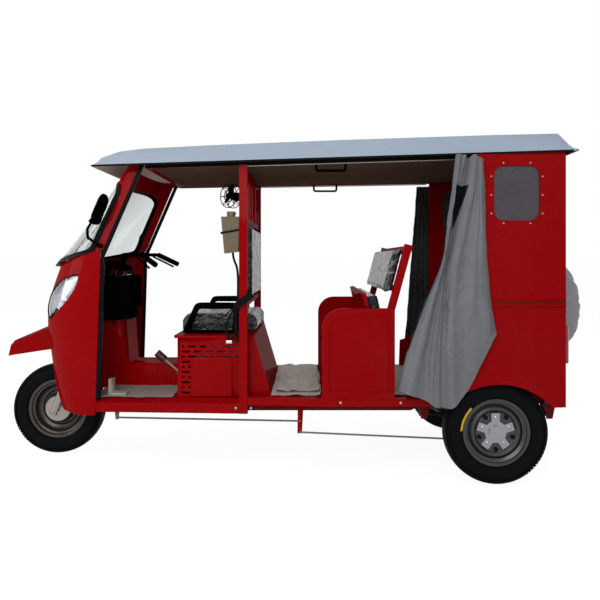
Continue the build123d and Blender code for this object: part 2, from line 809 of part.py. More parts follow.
def roof_frame():
    """Roof rails with cross bars, both pillars and the partition behind the driver."""
    rails = roof_band(roof_rail_inset, roof_rail_inset + roof_rail_size, screen_rear(screen_top) + 3, body_rear_x - 30)
    frame = rails & roof_slice(-roof_rail_drop, roof_rail_size - roof_rail_drop)
    bar_low = 2 - roof_rail_drop + liner_thickness + seat_gap
    for x in (-560, 420, 980):
        bar = block(x, x + roof_rail_size, -roof_half(x) + roof_rail_inset + 2,
                    roof_half(x) - roof_rail_inset - 2, roof_edge_z - 200, roof_edge_z + 200)
        frame += bar & roof_slice(bar_low, roof_rail_size - roof_rail_drop)
    top = roof_under(pillar_x) - 10
    half = pillar_size / 2
    y1 = pillar_half_width
    pillar = block(pillar_x - half, pillar_x + half, -y1, pillar_size - y1, 356, top)
    frame += both_sides(pillar)
    for z in (back_pad_bottom - 30, back_pad_top, 1650):
        frame += block(pillar_x - 15, pillar_x + 15, 2 - y1, y1 - 2, z, z + 30)
    for y in (-125, 95):
        frame += block(pillar_x - 15, pillar_x + 15, y, y + 30, back_pad_top + 2, top)
    return frame


# Driver's place
def vent_rows():
    """Slots of the seat box's left side: three full rows, then a column of short ones."""
    slots = []
    half = vent_length / 2
    for row in range(10):
        z = vent_top_z - row * vent_pitch_z
        offset = 0 if row % 2 else vent_pitch_x / 2
        last = 5 if row < 3 else 1
        for place in range(last):
            x = vent_first_x + place * vent_pitch_x + (offset if row < 3 else 0)
            if row < 3 or row % 2:
                slots.append((x - half, x + half, z))
        if row % 2 == 0:
            slots.append((vent_first_x - half, vent_first_x - half + 15, z))
            if row >= 3:
                slots.append((vent_first_x + half - 10, vent_first_x + half + 5, z))
    y = -seat_half_width
    return [block(x0, x1, y - 5, y + seat_wall + 5, z - vent_height / 2, z + vent_height / 2) for x0, x1, z in slots]


def driver_seat_base():
    """Sheet seat box over the engine: vented sides, sloping back, rim and side cover."""
    h = seat_half_width
    w = seat_wall
    step_x = pillar_x - 32
    low, high = front_floor_z + seat_gap, rear_floor_z + seat_gap
    box = side_prism([(seat_front_x, low), (seat_front_x, seat_top_z), (seat_slope_top_x, seat_top_z),
                      (seat_slope_foot_x, high), (step_x, high), (step_x, low)], -h, h)
    box -= side_prism([(seat_front_x + w, low - 5), (seat_front_x + w, seat_top_z - w),
                       (seat_slope_top_x - w, seat_top_z - w), (seat_slope_foot_x - w, high - 5), (step_x, high - 5),
                       (step_x - w, low - 5)], w - h, h - w)
    for slot in vent_rows():
        box -= both_sides(slot)
    rim = block(seat_front_x - 20, seat_slope_top_x, -h - 6, h + 6, seat_top_z, seat_top_z + 14)
    rim = fillet(rim.edges().filter_by(Axis.Z), 12)
    panel = side_prism([(-512, low + 4), (-512, 636), (-504, 648), (-304, 648), (-292, 636), (-292, low + 4)], -h - 12, 2 - h)
    panel = chamfer(panel.edges().filter_by(GeomType.LINE).group_by(Axis.Y)[0], 3)
    return box + rim + both_sides(panel)


def cushion(x0, x1, y0, y1, z0, z1, radius):
    """A plain padded block with its upper edges rounded."""
    solid = block(x0, x1, y0, y1, z0, z1)
    return fillet(solid.edges().group_by(Axis.Z)[-1], radius)


def driver_seat_cushion():
    """Padded driver's cushion."""
    z0 = seat_top_z + 14 + seat_gap
    return cushion(seat_front_x - 12, seat_cushion_rear_x, -288, 288, z0, z0 + seat_cushion_height, 40)


def driver_seat_back():
    """Back pad held by the partition bars."""
    half = back_pad_thickness / 2
    return block(pillar_x - half, pillar_x + half, -372, 372, back_pad_bottom + seat_gap, back_pad_top - seat_gap)


def driver_armrests():
    """Two padded armrest loops beside the driver."""
    outer = [(-588, 768.5), (-512, 946), (-262, 946), (-262, 768.5)]
    inner = [(-538, 790), (-490, 906), (-300, 906), (-300, 790)]
    y = armrest_y
    loop = side_prism(outer, -y - armrest_thickness / 2, armrest_thickness / 2 - y)
    loop = fillet(loop.edges().filter_by(Axis.Y).group_by(Axis.Z)[-1], 34)
    gap = side_prism(inner, -y - armrest_thickness, armrest_thickness - y)
    gap = fillet(gap.edges().filter_by(Axis.Y), 14)
    return both_sides(loop - gap)


def coolant_tank():
    """Header tank strapped to the left pillar's bars, with its cap."""
    body = side_prism([(-363, 1430), (-260, 1430), (-266, 1232), (-345, 1222)], -340, -270)
    cap = Pos(-310, -305, 1445) * Cylinder(24, 30)
    foot = block(-262, pillar_x - 15.3, -330, -280, 1390, 1416)
    return body + cap + foot


def fan_place(shape):
    """Turn a fan piece from its own axis toward the driver and carry it to its place."""
    return Pos(fan_x, fan_y, fan_z) * Rot(0, 0, fan_turn) * shape


def fan_cage():
    """Wire guard of the driver's fan with its motor, pin and bracket."""
    guard = Rectangle(4, 4)
    cage = None
    for x in (-22, 22):
        ring = revolve(Plane.XZ * Pos(x, fan_radius) * guard, axis=Axis.X)
        cage = ring if cage is None else cage + ring
    middle = revolve(Plane.XZ * Pos(-22, fan_radius / 2) * guard, axis=Axis.X)
    cage += middle
    for turn in range(8):
        wire = block(-23.5, -20.5, -1.5, 1.5, 16, fan_radius) + block(-22, 22, -1.5, 1.5, fan_radius - 1.5, fan_radius + 1.5)
        wire += block(20.5, 23.5, -1.5, 1.5, 0, fan_radius)
        cage += Rot(turn * 45, 0, 0) * wire
    badge = Pos(-23, 0, 0) * Rot(0, 90, 0) * Cylinder(17, 4)
    motor = Pos(43, 0, 0) * Rot(0, 90, 0) * Cylinder(26, 46)
    pin = Pos(4, 0, 0) * Rot(0, 90, 0) * Cylinder(4, 36)
    arm_foot = block(fan_x + 30, pillar_x - 15 - seat_gap, fan_y + 34, fan_y + 58, fan_z - 12, fan_z + 12)
    arm = block(pillar_x - 39, pillar_x - 15 - seat_gap, fan_y + 34, fan_y + 58, fan_z - 12, 1680)
    return fan_place(cage + badge + motor + pin) + arm_foot + arm


def fan_blades():
    """Three blades and hub, which spin on the motor's pin."""
    hub = Rot(0, 90, 0) * Cylinder(16, 24)
    blade = Pos(0, 0, 36) * Rot(0, 0, 28) * Box(3, 34, 52)
    for turn in range(3):
        hub += Rot(turn * 120, 0, 0) * blade
    return fan_place(hub - Rot(0, 90, 0) * Cylinder(4.6, 60))


# Middle bench
def bench_panel_outline():
    """Side panel of the middle bench, with its round front top corner."""
    x0, x1, z0, z1 = bench_front_x, bench_rear_x, rear_floor_z + 0.5, bench_top_z
    return [(x0, z0), (x0, z1), (x1, z1), (x1, z0)]


def bench_side():
    """One pressed side panel with its sunk field."""
    y0 = -cabin_half_width
    panel = side_prism(bench_panel_outline(), y0, y0 + bench_panel)
    corner = panel.edges().filter_by(Axis.Y).sort_by(lambda e: e.center().Z - e.center().X)[-1]
    panel = fillet(corner, bench_corner)
    field = block(bench_front_x + 38, bench_rear_x - 38, y0 - 1, y0 + 3, rear_floor_z + 40, bench_top_z - 48)
    field = fillet(field.edges().filter_by(Axis.Y).sort_by(lambda e: e.center().Z - e.center().X)[-1], 80)
    return panel - field


def bench_back_x(z):
    """Front line of the reclined back frame."""
    slope = math.tan(math.radians(bench_back_recline))
    return bench_back_foot_x + (z - bench_top_z + 60) * slope


def middle_bench():
    """Side panels, seat box and reclined back frame of the middle bench."""
    h = cabin_half_width - bench_panel
    base = block(bench_front_x + 60, fold_x + 40, -h, h, rear_floor_z + 0.5, bench_seat_z - fold_pan_thickness - 6)
    base -= block(bench_front_x + 66, fold_x + 34, 6 - h, h - 6, rear_floor_z - 5,
                  bench_seat_z - fold_pan_thickness - 12)
    foot_x, foot_z = bench_back_foot_x, bench_top_z - 60
    top_x = bench_back_x(1272)
    bar = side_prism([(foot_x, foot_z), (foot_x + 40, foot_z), (top_x + 40, 1262), (top_x, 1272)], -h - 1, 32 - h)
    back = both_sides(bar)
    for z in (foot_z + 150, 1226):
        x = bench_back_x(z)
        back += side_prism([(x, z), (x + 32, z - 9), (x + 41, z + 25), (bench_back_x(z + 34), z + 34)], 20 - h, h - 20)
    pin = rod((fold_x, -h - 1, fold_z), (fold_x, -fold_seat_half - running_gap, fold_z), fold_pin_radius)
    return both_sides(bench_side() + pin) + base + back


def lean_prism(points, y0, y1):
    """Outline in the folded-up seat's own frame: up its length, then forward."""
    angle = math.radians(fold_lean)
    turned = []
    for up, ahead in points:
        x = fold_x - up * math.sin(angle) - ahead * math.cos(angle)
        z = fold_z + up * math.cos(angle) - ahead * math.sin(angle)
        turned.append((x, z))
    return side_prism(turned, y0, y1)


def fold_pan():
    """Slatted steel pan of the fold-up seat, seen from its underside."""
    t, h, length = fold_pan_thickness, fold_seat_half, fold_seat_length
    pan = lean_prism([(0, 0), (length, 0), (length, t), (0, t)], -h, h)
    pan += rod((fold_x, -h, fold_z), (fold_x, h, fold_z), fold_pin_radius + 1)
    for y in (-330, -110, 110, 330):
        pan -= lean_prism([(40, 6), (length - 30, 6), (length - 30, t + 5), (40, t + 5)], y - 85, y + 85)
    return pan


def fold_cushion():
    """Cushion on the fold-up seat."""
    t, h, length = fold_cushion_thickness, fold_seat_half - 6, fold_seat_length
    return lean_prism([(14, -seat_gap), (length - 6, -seat_gap), (length - 6, -t), (14, -t)], -h, h)


def middle_back_pad():
    """Padded back of the middle bench, in front of its frame."""
    h = cabin_half_width - bench_panel - 34
    low, high, t = 1006, 1262, 46
    rear_low, rear_high = bench_back_x(low) - seat_gap, bench_back_x(high) - seat_gap
    return side_prism([(rear_low, low), (rear_high, high), (rear_high - t, high - 8), (rear_low - t, low - 8)], -h, h)


# Rear body
def side_panel():
    """Left wall of the rear body with its window and wheel arch."""
    y0 = -body_half_width
    outline = [(body_front_x, 1690), (body_front_x, 700), (940, 660), (body_skirt_front_x, 610),
               (body_skirt_front_x - 6, rear_floor_z + 1), (body_skirt_front_x - 6, body_bottom_z),
               (body_rear_x, body_bottom_z), (body_rear_x, 1690)]
    top = [(x, roof_under(x) - 1 if z == 1690 else z) for x, z in outline]
    wall = side_prism(top, y0, y0 + body_wall)
    arch_z = arch_edge_top - arch_edge_radius
    arch = rod((rear_axle_x, y0 - 30, arch_z), (rear_axle_x, y0 + body_wall + 1, arch_z), arch_edge_radius)
    window = block(window_front_x, window_rear_x, y0 - 5, y0 + body_wall + 5, window_bottom_z, window_top_z)
    window = fillet(window.edges().filter_by(Axis.Y), window_corner)
    flare = rod((rear_axle_x, y0 - flare_proud, arch_z), (rear_axle_x, y0 + 2, arch_z), arch_edge_radius + flare_width)
    flare = chamfer(flare.edges().group_by(Axis.Y)[0], flare_proud - 2, 26)
    flare &= block(body_skirt_front_x + 24, body_rear_x - 8, y0 - 30, y0 + 5, body_bottom_z + 2, 700)
    belt = block(body_front_x, body_rear_x, y0 - 4, y0 + 2, 940, 948)
    belt += block(body_front_x, body_rear_x, y0 - 4, y0 + 2, 967, 975)
    liner = rod((rear_axle_x, y0 + body_wall - 2, axle_z), (rear_axle_x, -446, axle_z), body_arch_radius + 4)
    liner -= rod((rear_axle_x, y0 + body_wall - 10, axle_z), (rear_axle_x, -440, axle_z), body_arch_radius)
    liner += block(body_skirt_front_x + 24, 1436, -450, -446, rear_floor_z + 1, 586)
    liner &= block(body_skirt_front_x, body_rear_x - 1, y0, -440, rear_floor_z + 1, 700)
    return wall + flare + belt - arch - window + liner


def rear_wall():
    """Back wall of the body, with its window opening."""
    h = body_half_width - body_wall
    x0, x1 = body_rear_x - body_wall, body_rear_x
    wall = block(x0, x1, -h, h, body_bottom_z, roof_under(body_rear_x) - 1)
    window = block(x0 - 5, x1 + 5, -330, 330, 1340, 1640)
    window = fillet(window.edges().filter_by(Axis.X), window_corner)
    for y in (-plate_bolt_spacing / 2, plate_bolt_spacing / 2):
        wall -= rod((x0 - 5, y, plate_bolt_z), (x1 + 5, y, plate_bolt_z), plate_bolt_radius)
    return wall - window


def body_windows():
    """Film panes of the two side windows and the rear window."""
    y0 = -body_half_width + body_wall / 2
    pane = block(window_front_x + seat_gap, window_rear_x - seat_gap, y0, y0 + window_pane,
                 window_bottom_z + seat_gap, window_top_z - seat_gap)
    pane = fillet(pane.edges().filter_by(Axis.Y), window_corner)
    x0 = body_rear_x - body_wall / 2
    back = block(x0, x0 + window_pane, -330 + seat_gap, 330 - seat_gap, 1340 + seat_gap, 1640 - seat_gap)
    back = fillet(back.edges().filter_by(Axis.X), window_corner)
    return both_sides(pane), back


def rear_bench_base():
    """Box of the rear bench between the wheel housings."""
    h = body_half_width - body_wall - seat_gap
    x1 = body_rear_x - body_wall - seat_gap
    top = block(1010, x1, -h, h, rear_seat_z - 20, rear_seat_z)
    front = block(1010, 1016, -440, 440, rear_floor_z + 0.5, rear_seat_z - 10)
    front += block(1010, 1016, -h, h, 640, rear_seat_z - 10)
    return top + front


def rear_bench_cushion():
    """Seat cushion of the rear bench."""
    z0 = rear_seat_z + seat_gap
    half = body_half_width - body_wall - bench_cushion_gap
    return cushion(1000, 1370, -half, half, z0, z0 + 90, 30)


def rear_bench_back():
    """Back cushion of the rear bench."""
    x1 = body_rear_x - body_wall - seat_gap
    return side_prism([(x1 - 90, rear_seat_z + 92), (x1, rear_seat_z + 92), (x1, 1310), (x1 - 50, 1310)],
                      body_wall + bench_cushion_gap - body_half_width, body_half_width - body_wall - bench_cushion_gap)


def spare_wheel_cover():
    """Vinyl-covered spare wheel on the back wall."""
    start = body_rear_x + seat_gap
    cover = rod((start, 0, spare_z), (start + spare_depth + 0.7, 0, spare_z), spare_radius)
    return fillet(cover.edges().group_by(Axis.X)[-1], 45)


def tail_lamps():
    """Pair of rear lamp clusters."""
    lamp = block(body_rear_x + 0.3, body_rear_x + 36, -560, -470, 640, 840)
    lamp = fillet(lamp.edges().group_by(Axis.X)[-1], 12)
    return both_sides(lamp)


# Curtains and handles
def curtain(points):
    """A hanging curtain's closed outline as one plain slab, left side."""
    y1 = -body_half_width - curtain_gap
    return side_prism(points, y1 - curtain_thickness, y1)


def curtain_left():
    """Gathered curtain with its foot blown forward."""
    return curtain([(901, 1722), (1031, 1722), (1046, 1200), (1109, 816), (916, 422), (761, 422), (589, 505),
                    (720, 1000), (850, 1400)])


def curtain_right():
    """The same curtain hanging straighter on the right."""
    slab = curtain([(905, 1722), (1031, 1722), (1046, 1200), (1080, 816), (960, 432), (800, 432),
                    (830, 900), (890, 1400)])
    return mirrored(slab)


def grab_handles():
    """Handles under the roof rails."""
    x0, x1 = 171, 329
    y = -roof_half(250) + roof_rail_inset + roof_rail_size / 2
    z0, z1 = [roof_under(x) - roof_rail_drop - 0.5 for x in (x0, x1)]
    handle = bent_bar([(x0, y, z0), (x0, y, z0 - 40), (x1, y, z0 - 40), (x1, y, z1)], 14, 7)
    return both_sides(handle)


# Underside
def rear_axle():
    """Axle tube with its differential, brake drums and hub ends."""
    axle = rod((rear_axle_x, -440, axle_z), (rear_axle_x, 440, axle_z), axle_tube_radius)
    axle += Pos(rear_axle_x, 0, axle_z) * Sphere(100)
    axle += rod((rear_axle_x - 130, 0, axle_z), (rear_axle_x, 0, axle_z), 40)
    hub_end = wheel_y + 7 - running_gap
    for side in (-1, 1):
        axle += rod((rear_axle_x, side * drum_inner_y, axle_z), (rear_axle_x, side * drum_outer_y, axle_z), brake_drum_radius)
        axle += rod((rear_axle_x, side * 455, axle_z), (rear_axle_x, side * hub_end, axle_z), hub_radius)
    return axle


def leaf_spring():
    """Left spring pack of four leaves with its eyes and clamp."""
    y0, y1 = -spring_y - spring_width / 2, spring_width / 2 - spring_y
    front_x, rear_x = spring_front_x, spring_rear_x
    saddle = axle_z + axle_tube_radius + seat_gap
    pack = None
    for leaf in range(4):
        reach = 0.32 + 0.226 * leaf
        low = saddle + 8 * leaf
        x0 = rear_axle_x - (rear_axle_x - front_x) * min(1, reach)
        x1 = rear_axle_x + (rear_x - rear_axle_x) * min(1, reach)
        piece = block(x0, x1, y0, y1, low, low + 8)
        pack = piece if pack is None else pack + piece
    for x in (front_x, rear_x):
        pack += rod((x, y0, spring_eye_z), (x, y1, spring_eye_z), 18)
        pack -= rod((x, y0 - 1, spring_eye_z), (x, y1 + 1, spring_eye_z), 8.3)
    return pack


def engine_block():
    """Engine and gearbox as one plain block under the driver's seat."""
    return block(engine_front_x, engine_rear_x, -engine_half, engine_half, engine_low_z, engine_low_z + engine_height)


def drive_shaft():
    """Shaft from the gearbox to the differential."""
    return rod((engine_rear_x + seat_gap + 1, 0, 330), (rear_axle_x - 130 - seat_gap - 1, 0, axle_z + 6), 20)


def exhaust():
    """Exhaust pipe and silencer on the right."""
    pipe = rod((-300, engine_half + seat_gap, 350), (-300, 262, 350), 17)
    pipe += rod((-318, 250, 350), (60, 250, 340), 17)
    pipe += rod((40, 250, 330), (420, 250, 330), 44)
    return pipe


def brake_linkage():
    """Brake cross levers and their rods along the left side."""
    rail_face = -main_rail_y - main_rail_width / 2 - seat_gap
    y = rail_face - 14
    links = rod((-934, rail_face, 362), (-934, y - 4, 362), 12)
    links += side_prism([(-948, 362), (-920, 362), (-926, 300), (-942, 300)], y - 3, y + 3)
    links += rod((-934, y, 310), (86, y, 290), 5)
    links += rod((86, rail_face, 366), (86, y - 4, 366), 14)
    links += side_prism([(70, 380), (102, 380), (94, 222), (68, 222)], y - 3, y + 3)
    drum_face = -drum_inner_y + seat_gap
    arm_x = rear_axle_x - 62
    links += rod((80, y, 228), (arm_x, drum_face + 10, 195), 5)
    links += side_prism([(arm_x - 12, 190), (arm_x + 12, 190), (arm_x + 24, 262), (arm_x, 262)],
                        drum_face, drum_face + 12)
    return both_sides(links)


def driver_controls():
    """Brake pedal on the floor and the hand lever beside the seat."""
    z = front_floor_z + 1
    pedal = block(-960, -880, -400, -330, z - 0.5, z + 20) + block(-980, -960, -392, -338, z - 0.5, z + 95)
    lever = rod((-640, -20, tunnel_top_z + 5), (-745, -20, 660), 6)
    lever += block(-655, -625, -32, -8, tunnel_top_z + seat_gap, tunnel_top_z + 8)
    knob = rod((-735, -20, 651), (-770, -20, 683), 17)
    return pedal, lever + knob


def mirrors():
    """Door mirrors: thin oval heads that lean with the screen, on bent arms."""
    head = fillet(Box(30, 118, 168).edges().filter_by(Axis.X), 46)
    head = chamfer(head.edges().group_by(Axis.X)[0], 8)
    head = Pos(-993, -520, 1457) * Rot(0, 26, 0) * Rot(0, 0, -18) * head
    foot_x, foot_z = -1008, 1263
    arm = bent_bar([(foot_x, -452, foot_z), (-1058, -494, 1306), (-1052, -516, 1350), (-1008, -520, 1424)], 14, 7)
    foot = rod((foot_x, -439.2, foot_z), (foot_x, -460, foot_z), 13)
    return both_sides(head + arm + foot)


os.makedirs("parts", exist_ok=True)

save("chassis_frame", chassis_frame())
save("floor_deck", *floor_deck())
save("side_sills", *side_sills())
save("nose_shell", nose_shell())
save("headlamps", headlamps())
save("windscreen_frame", windscreen_frame())
save("windscreen_seal", windscreen_seal())
save("windscreen_glass", windscreen_glass())
save("door_seals", door_seals())
save("wheel_housing", wheel_housing())
save("dash_panel", dash_panel())
save("roof_shell", roof_shell())
save("roof_liner", roof_liner())
save("roof_frame", roof_frame())
save("driver_seat_base", driver_seat_base())
save("driver_seat_cushion", driver_seat_cushion())
save("driver_seat_back", driver_seat_back())
save("driver_armrests", driver_armrests())
save("coolant_tank", coolant_tank())
save("fan_cage", fan_cage())
save("fan_blades", fan_blades())
save("middle_bench", middle_bench())
save("fold_seat_pan", fold_pan())
save("fold_seat_cushion", fold_cushion())
save("middle_back_pad", middle_back_pad())
save("rear_side_left", side_panel())
save("rear_side_right", mirrored(side_panel()))
save("rear_wall", rear_wall())
save("body_windows", *body_windows())
save("rear_bench_base", rear_bench_base())
save("rear_bench_cushion", rear_bench_cushion())
save("rear_bench_back", rear_bench_back())
save("spare_wheel_cover", spare_wheel_cover())
save("tail_lamps", tail_lamps())
save("curtain_left", curtain_left())
save("curtain_right", curtain_right())
save("grab_handles", grab_handles())
save("rear_axle", rear_axle())
save("leaf_springs", both_sides(leaf_spring()))
save("engine_block", engine_block())
save("drive_shaft", drive_shaft())
save("exhaust", exhaust())
save("brake_linkage", brake_linkage())
save("driver_controls", *driver_controls())
save("mirrors", mirrors())
save("front_fork", front_fork())
save("handlebar", handlebar())
save("front_mudguard", front_mudguard())
save("front_tyre", wheel_place(tyre(), front_axle_x, 0))
save("front_rim", wheel_place(front_rim(), front_axle_x, 0))
save("rear_left_tyre", wheel_place(tyre(), rear_axle_x, -wheel_y))
save("rear_left_rim", wheel_place(rear_rim(), rear_axle_x, -wheel_y))
save("rear_left_hub_cover", wheel_place(hub_cover(), rear_axle_x, -wheel_y))
save("rear_right_tyre", mirrored(wheel_place(tyre(), rear_axle_x, -wheel_y)))
save("rear_right_rim", mirrored(wheel_place(rear_rim(), rear_axle_x, -wheel_y)))
save("rear_right_hub_cover", mirrored(wheel_place(hub_cover(), rear_axle_x, -wheel_y)))
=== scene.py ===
# %% [markdown]
# A passenger auto rickshaw, dressed in Blender
#
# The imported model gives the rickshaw's pieces at their real size and place. This lesson
# gives each of them its finish, replaces the plain cushions, tyres and curtains with
# modelled ones, and adds the small things that make a real vehicle: tread, bolts, straps
# and floor cloths. Everything is in metres, with the nose toward minus X and plus Z up.

# %% Load the frame
import bpy
import json
import math
import random
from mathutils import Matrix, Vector


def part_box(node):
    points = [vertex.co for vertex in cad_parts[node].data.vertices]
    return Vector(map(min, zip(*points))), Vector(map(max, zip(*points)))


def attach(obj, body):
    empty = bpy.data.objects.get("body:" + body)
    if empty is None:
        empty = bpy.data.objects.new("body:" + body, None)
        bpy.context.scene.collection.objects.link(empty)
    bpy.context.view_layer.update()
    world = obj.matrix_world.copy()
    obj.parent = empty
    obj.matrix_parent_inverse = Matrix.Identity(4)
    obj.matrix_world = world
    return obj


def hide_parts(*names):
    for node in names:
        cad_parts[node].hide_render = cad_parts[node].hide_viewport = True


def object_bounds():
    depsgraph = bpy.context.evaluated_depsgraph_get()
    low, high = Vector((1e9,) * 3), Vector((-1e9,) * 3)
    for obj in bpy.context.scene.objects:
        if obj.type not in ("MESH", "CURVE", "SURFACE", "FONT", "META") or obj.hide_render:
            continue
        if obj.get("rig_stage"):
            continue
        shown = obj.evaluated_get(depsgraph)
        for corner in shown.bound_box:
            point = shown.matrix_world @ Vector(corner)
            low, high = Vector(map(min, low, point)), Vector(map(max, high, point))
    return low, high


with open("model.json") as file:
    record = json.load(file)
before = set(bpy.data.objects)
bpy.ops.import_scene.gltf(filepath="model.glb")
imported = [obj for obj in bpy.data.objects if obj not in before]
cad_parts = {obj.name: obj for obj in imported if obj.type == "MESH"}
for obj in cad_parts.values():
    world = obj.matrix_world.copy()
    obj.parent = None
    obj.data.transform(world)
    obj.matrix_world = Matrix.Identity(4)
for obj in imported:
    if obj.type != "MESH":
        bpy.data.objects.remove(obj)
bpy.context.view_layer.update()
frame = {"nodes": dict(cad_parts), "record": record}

# %% [markdown]
# The camera stands level beside the rickshaw, as in the photo, about 3.7 metres from its
# middle plane. A level camera keeps the pillars upright, so the small shift, and not a
# tilt, places the vehicle in the picture. A 36 mm lens on a 36 mm sensor matches the way
# the far side shrinks behind the near one.

# %% Camera
camera_x = 0.116
camera_y = -3.72
camera_z = 1.185
picture_width = 600
principal_x = 306
horizon_y = 260
bpy.ops.object.camera_add(location=(camera_x, camera_y, camera_z), rotation=(math.pi / 2, 0, 0))
camera = bpy.context.object
camera.data.lens = 36
camera.data.sensor_width = 36
camera.data.shift_x = (picture_width / 2 - principal_x) / picture_width
camera.data.shift_y = (horizon_y - picture_width / 2) / picture_width
bpy.context.scene.camera = camera
bpy.context.scene.view_settings.view_transform = "Standard"

# %% [markdown]
# The light is that of a bright overcast sky: a pale world all round, one large soft lamp
# above the near side and a weaker one from the front. The floor and the world are white
# only to the camera, in mirrors and through glass, so that the paint isn't washed out.


# %% Light, world and floor
def soft_lamp(place, aim, size, power):
    """A large square lamp that looks from a place to an aim."""
    bpy.ops.object.light_add(type="AREA", location=place)
    lamp = bpy.context.object
    lamp.data.shape = "SQUARE"
    lamp.data.size = size
    lamp.data.energy = power
    lamp.rotation_euler = (Vector(aim) - Vector(place)).to_track_quat("-Z", "Y").to_euler()


soft_lamp((-1.0, -5.5, 3.6), (0, 0, 0.9), 4.0, 215)
soft_lamp((-6.0, -1.0, 2.6), (0, 0, 0.8), 3.0, 90)
soft_lamp((3.0, 5.0, 4.0), (0, 0, 1.0), 4.0, 70)


def add_node(tree, kind, links=(), **settings):
    """A node with its settings, and each named input linked or set to a value."""
    node = tree.nodes.new(kind)
    for name, value in settings.items():
        setattr(node, name, value)
    for name, source in links:
        if isinstance(source, bpy.types.NodeSocket):
            tree.links.new(source, node.inputs[name])
        else:
            node.inputs[name].default_value = source
    return node


def math_node(tree, operation, *inputs):
    """A math node on sockets or values: gives its result."""
    return add_node(tree, "ShaderNodeMath", list(enumerate(inputs)), operation=operation).outputs[0]


def seen_white(tree, plain, bright):
    """Mix a plain shader for light with a bright one for the eye, mirrors and glass."""
    path = add_node(tree, "ShaderNodeLightPath").outputs
    either = math_node(tree, "MAXIMUM", path["Is Camera Ray"], path["Is Glossy Ray"])
    seen = math_node(tree, "MAXIMUM", either, path["Is Transmission Ray"])
    return add_node(tree, "ShaderNodeMixShader", [(0, seen), (1, plain), (2, bright)]).outputs[0]


world = bpy.data.worlds.new("overcast")
world.use_nodes = True
bpy.context.scene.world = world
sky_tree = world.node_tree
sky = sky_tree.nodes["Background"]
sky.inputs["Color"].default_value = (0.86, 0.92, 1.0, 1)
sky.inputs["Strength"].default_value = 0.42
white = sky_tree.nodes.new("ShaderNodeBackground")
white.inputs["Color"].default_value = (1, 1, 1, 1)
white.inputs["Strength"].default_value = 1.0
sky_out = sky_tree.nodes["World Output"]
sky_tree.links.new(seen_white(sky_tree, sky.outputs[0], white.outputs[0]), sky_out.inputs["Surface"])

bpy.ops.mesh.primitive_plane_add(size=900, location=(0, 0, 0))
floor = bpy.context.object
floor.name = "floor"
floor_paint = bpy.data.materials.new("floor")
floor_paint.use_nodes = True
floor_tree = floor_paint.node_tree
floor_shader = floor_tree.nodes["Principled BSDF"]
floor_shader.inputs["Base Color"].default_value = (0.80, 0.80, 0.80, 1)
floor_shader.inputs["Roughness"].default_value = 0.95
floor_shader.inputs["Specular IOR Level"].default_value = 0.0
glow = floor_tree.nodes.new("ShaderNodeEmission")
glow.inputs["Strength"].default_value = 1.16
half_glow = floor_tree.nodes.new("ShaderNodeMixShader")
half_glow.inputs[0].default_value = 0.80
floor_tree.links.new(floor_shader.outputs[0], half_glow.inputs[1])
floor_tree.links.new(glow.outputs[0], half_glow.inputs[2])
floor_seen = seen_white(floor_tree, floor_shader.outputs[0], half_glow.outputs[0])
floor_tree.links.new(floor_seen, floor_tree.nodes["Material Output"].inputs["Surface"])
floor.data.materials.append(floor_paint)
floor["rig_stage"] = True

# %% [markdown]
# Many finishes share an effect, so each effect is built once as a node group with named
# inputs. Dust settles unevenly and dulls a colour; grain is the fine unevenness of paint,
# plastic and cast metal; weave is the crossing of threads; crinkle is the sharp folding of
# the clear film that still wraps the new seats, with a mask for painted highlights on its creases.


# %% Node group tools
def new_group(name, inputs, outputs):
    """A shader node group with its sockets, and its input and output nodes."""
    group = bpy.data.node_groups.new(name, "ShaderNodeTree")
    for label, kind, value in inputs:
        socket = group.interface.new_socket(name=label, in_out="INPUT", socket_type=kind)
        socket.default_value = value
    for label, kind in outputs:
        group.interface.new_socket(name=label, in_out="OUTPUT", socket_type=kind)
    start = group.nodes.new("NodeGroupInput")
    end = group.nodes.new("NodeGroupOutput")
    return group, start, end


def noise(tree, place, scale, detail):
    """Soft noise at a place: gives its height."""
    links = [("Vector", place), ("Scale", scale), ("Detail", detail)]
    return add_node(tree, "ShaderNodeTexNoise", links).outputs["Fac"]


def map_range(tree, value, **limits):
    """A value mapped between limits: gives the result."""
    links = [("Value", value)] + [(label.replace("_", " "), limit) for label, limit in limits.items()]
    return add_node(tree, "ShaderNodeMapRange", links).outputs[0]


def mix_colour(tree, share, first, second, **settings):
    """Two colours mixed by a share: gives the result."""
    links = [(0, share), (6, first), (7, second)]
    return add_node(tree, "ShaderNodeMix", links, data_type="RGBA", **settings).outputs[2]


FLOAT = "NodeSocketFloat"
COLOUR = "NodeSocketColor"


# %% Dust, grain, weave and crinkle groups
def dust_group():
    """Uneven dust and fading: gives a colour and a roughness."""
    group, start, end = new_group(
        "settled_dust",
        [("Colour", COLOUR, (0.5, 0.5, 0.5, 1)), ("Dust", COLOUR, (0.4, 0.36, 0.3, 1)), ("Amount", FLOAT, 0.1),
         ("Patch Scale", FLOAT, 3.0), ("Smooth", FLOAT, 0.3), ("Dull", FLOAT, 0.6)],
        [("Colour", COLOUR), ("Roughness", FLOAT)])
    place = add_node(group, "ShaderNodeTexCoord").outputs["Object"]
    both = math_node(group, "MULTIPLY", noise(group, place, start.outputs["Patch Scale"], 6.0),
                     noise(group, place, 60.0, 4.0))
    spread = map_range(group, both, From_Min=0.18, From_Max=0.42)
    share = math_node(group, "MULTIPLY", spread, start.outputs["Amount"])
    tint = mix_colour(group, share, start.outputs["Colour"], start.outputs["Dust"])
    rough = add_node(group, "ShaderNodeMix", [(0, spread), (2, start.outputs["Smooth"]), (3, start.outputs["Dull"])],
                     data_type="FLOAT")
    group.links.new(tint, end.inputs["Colour"])
    group.links.new(rough.outputs[0], end.inputs["Roughness"])
    return group


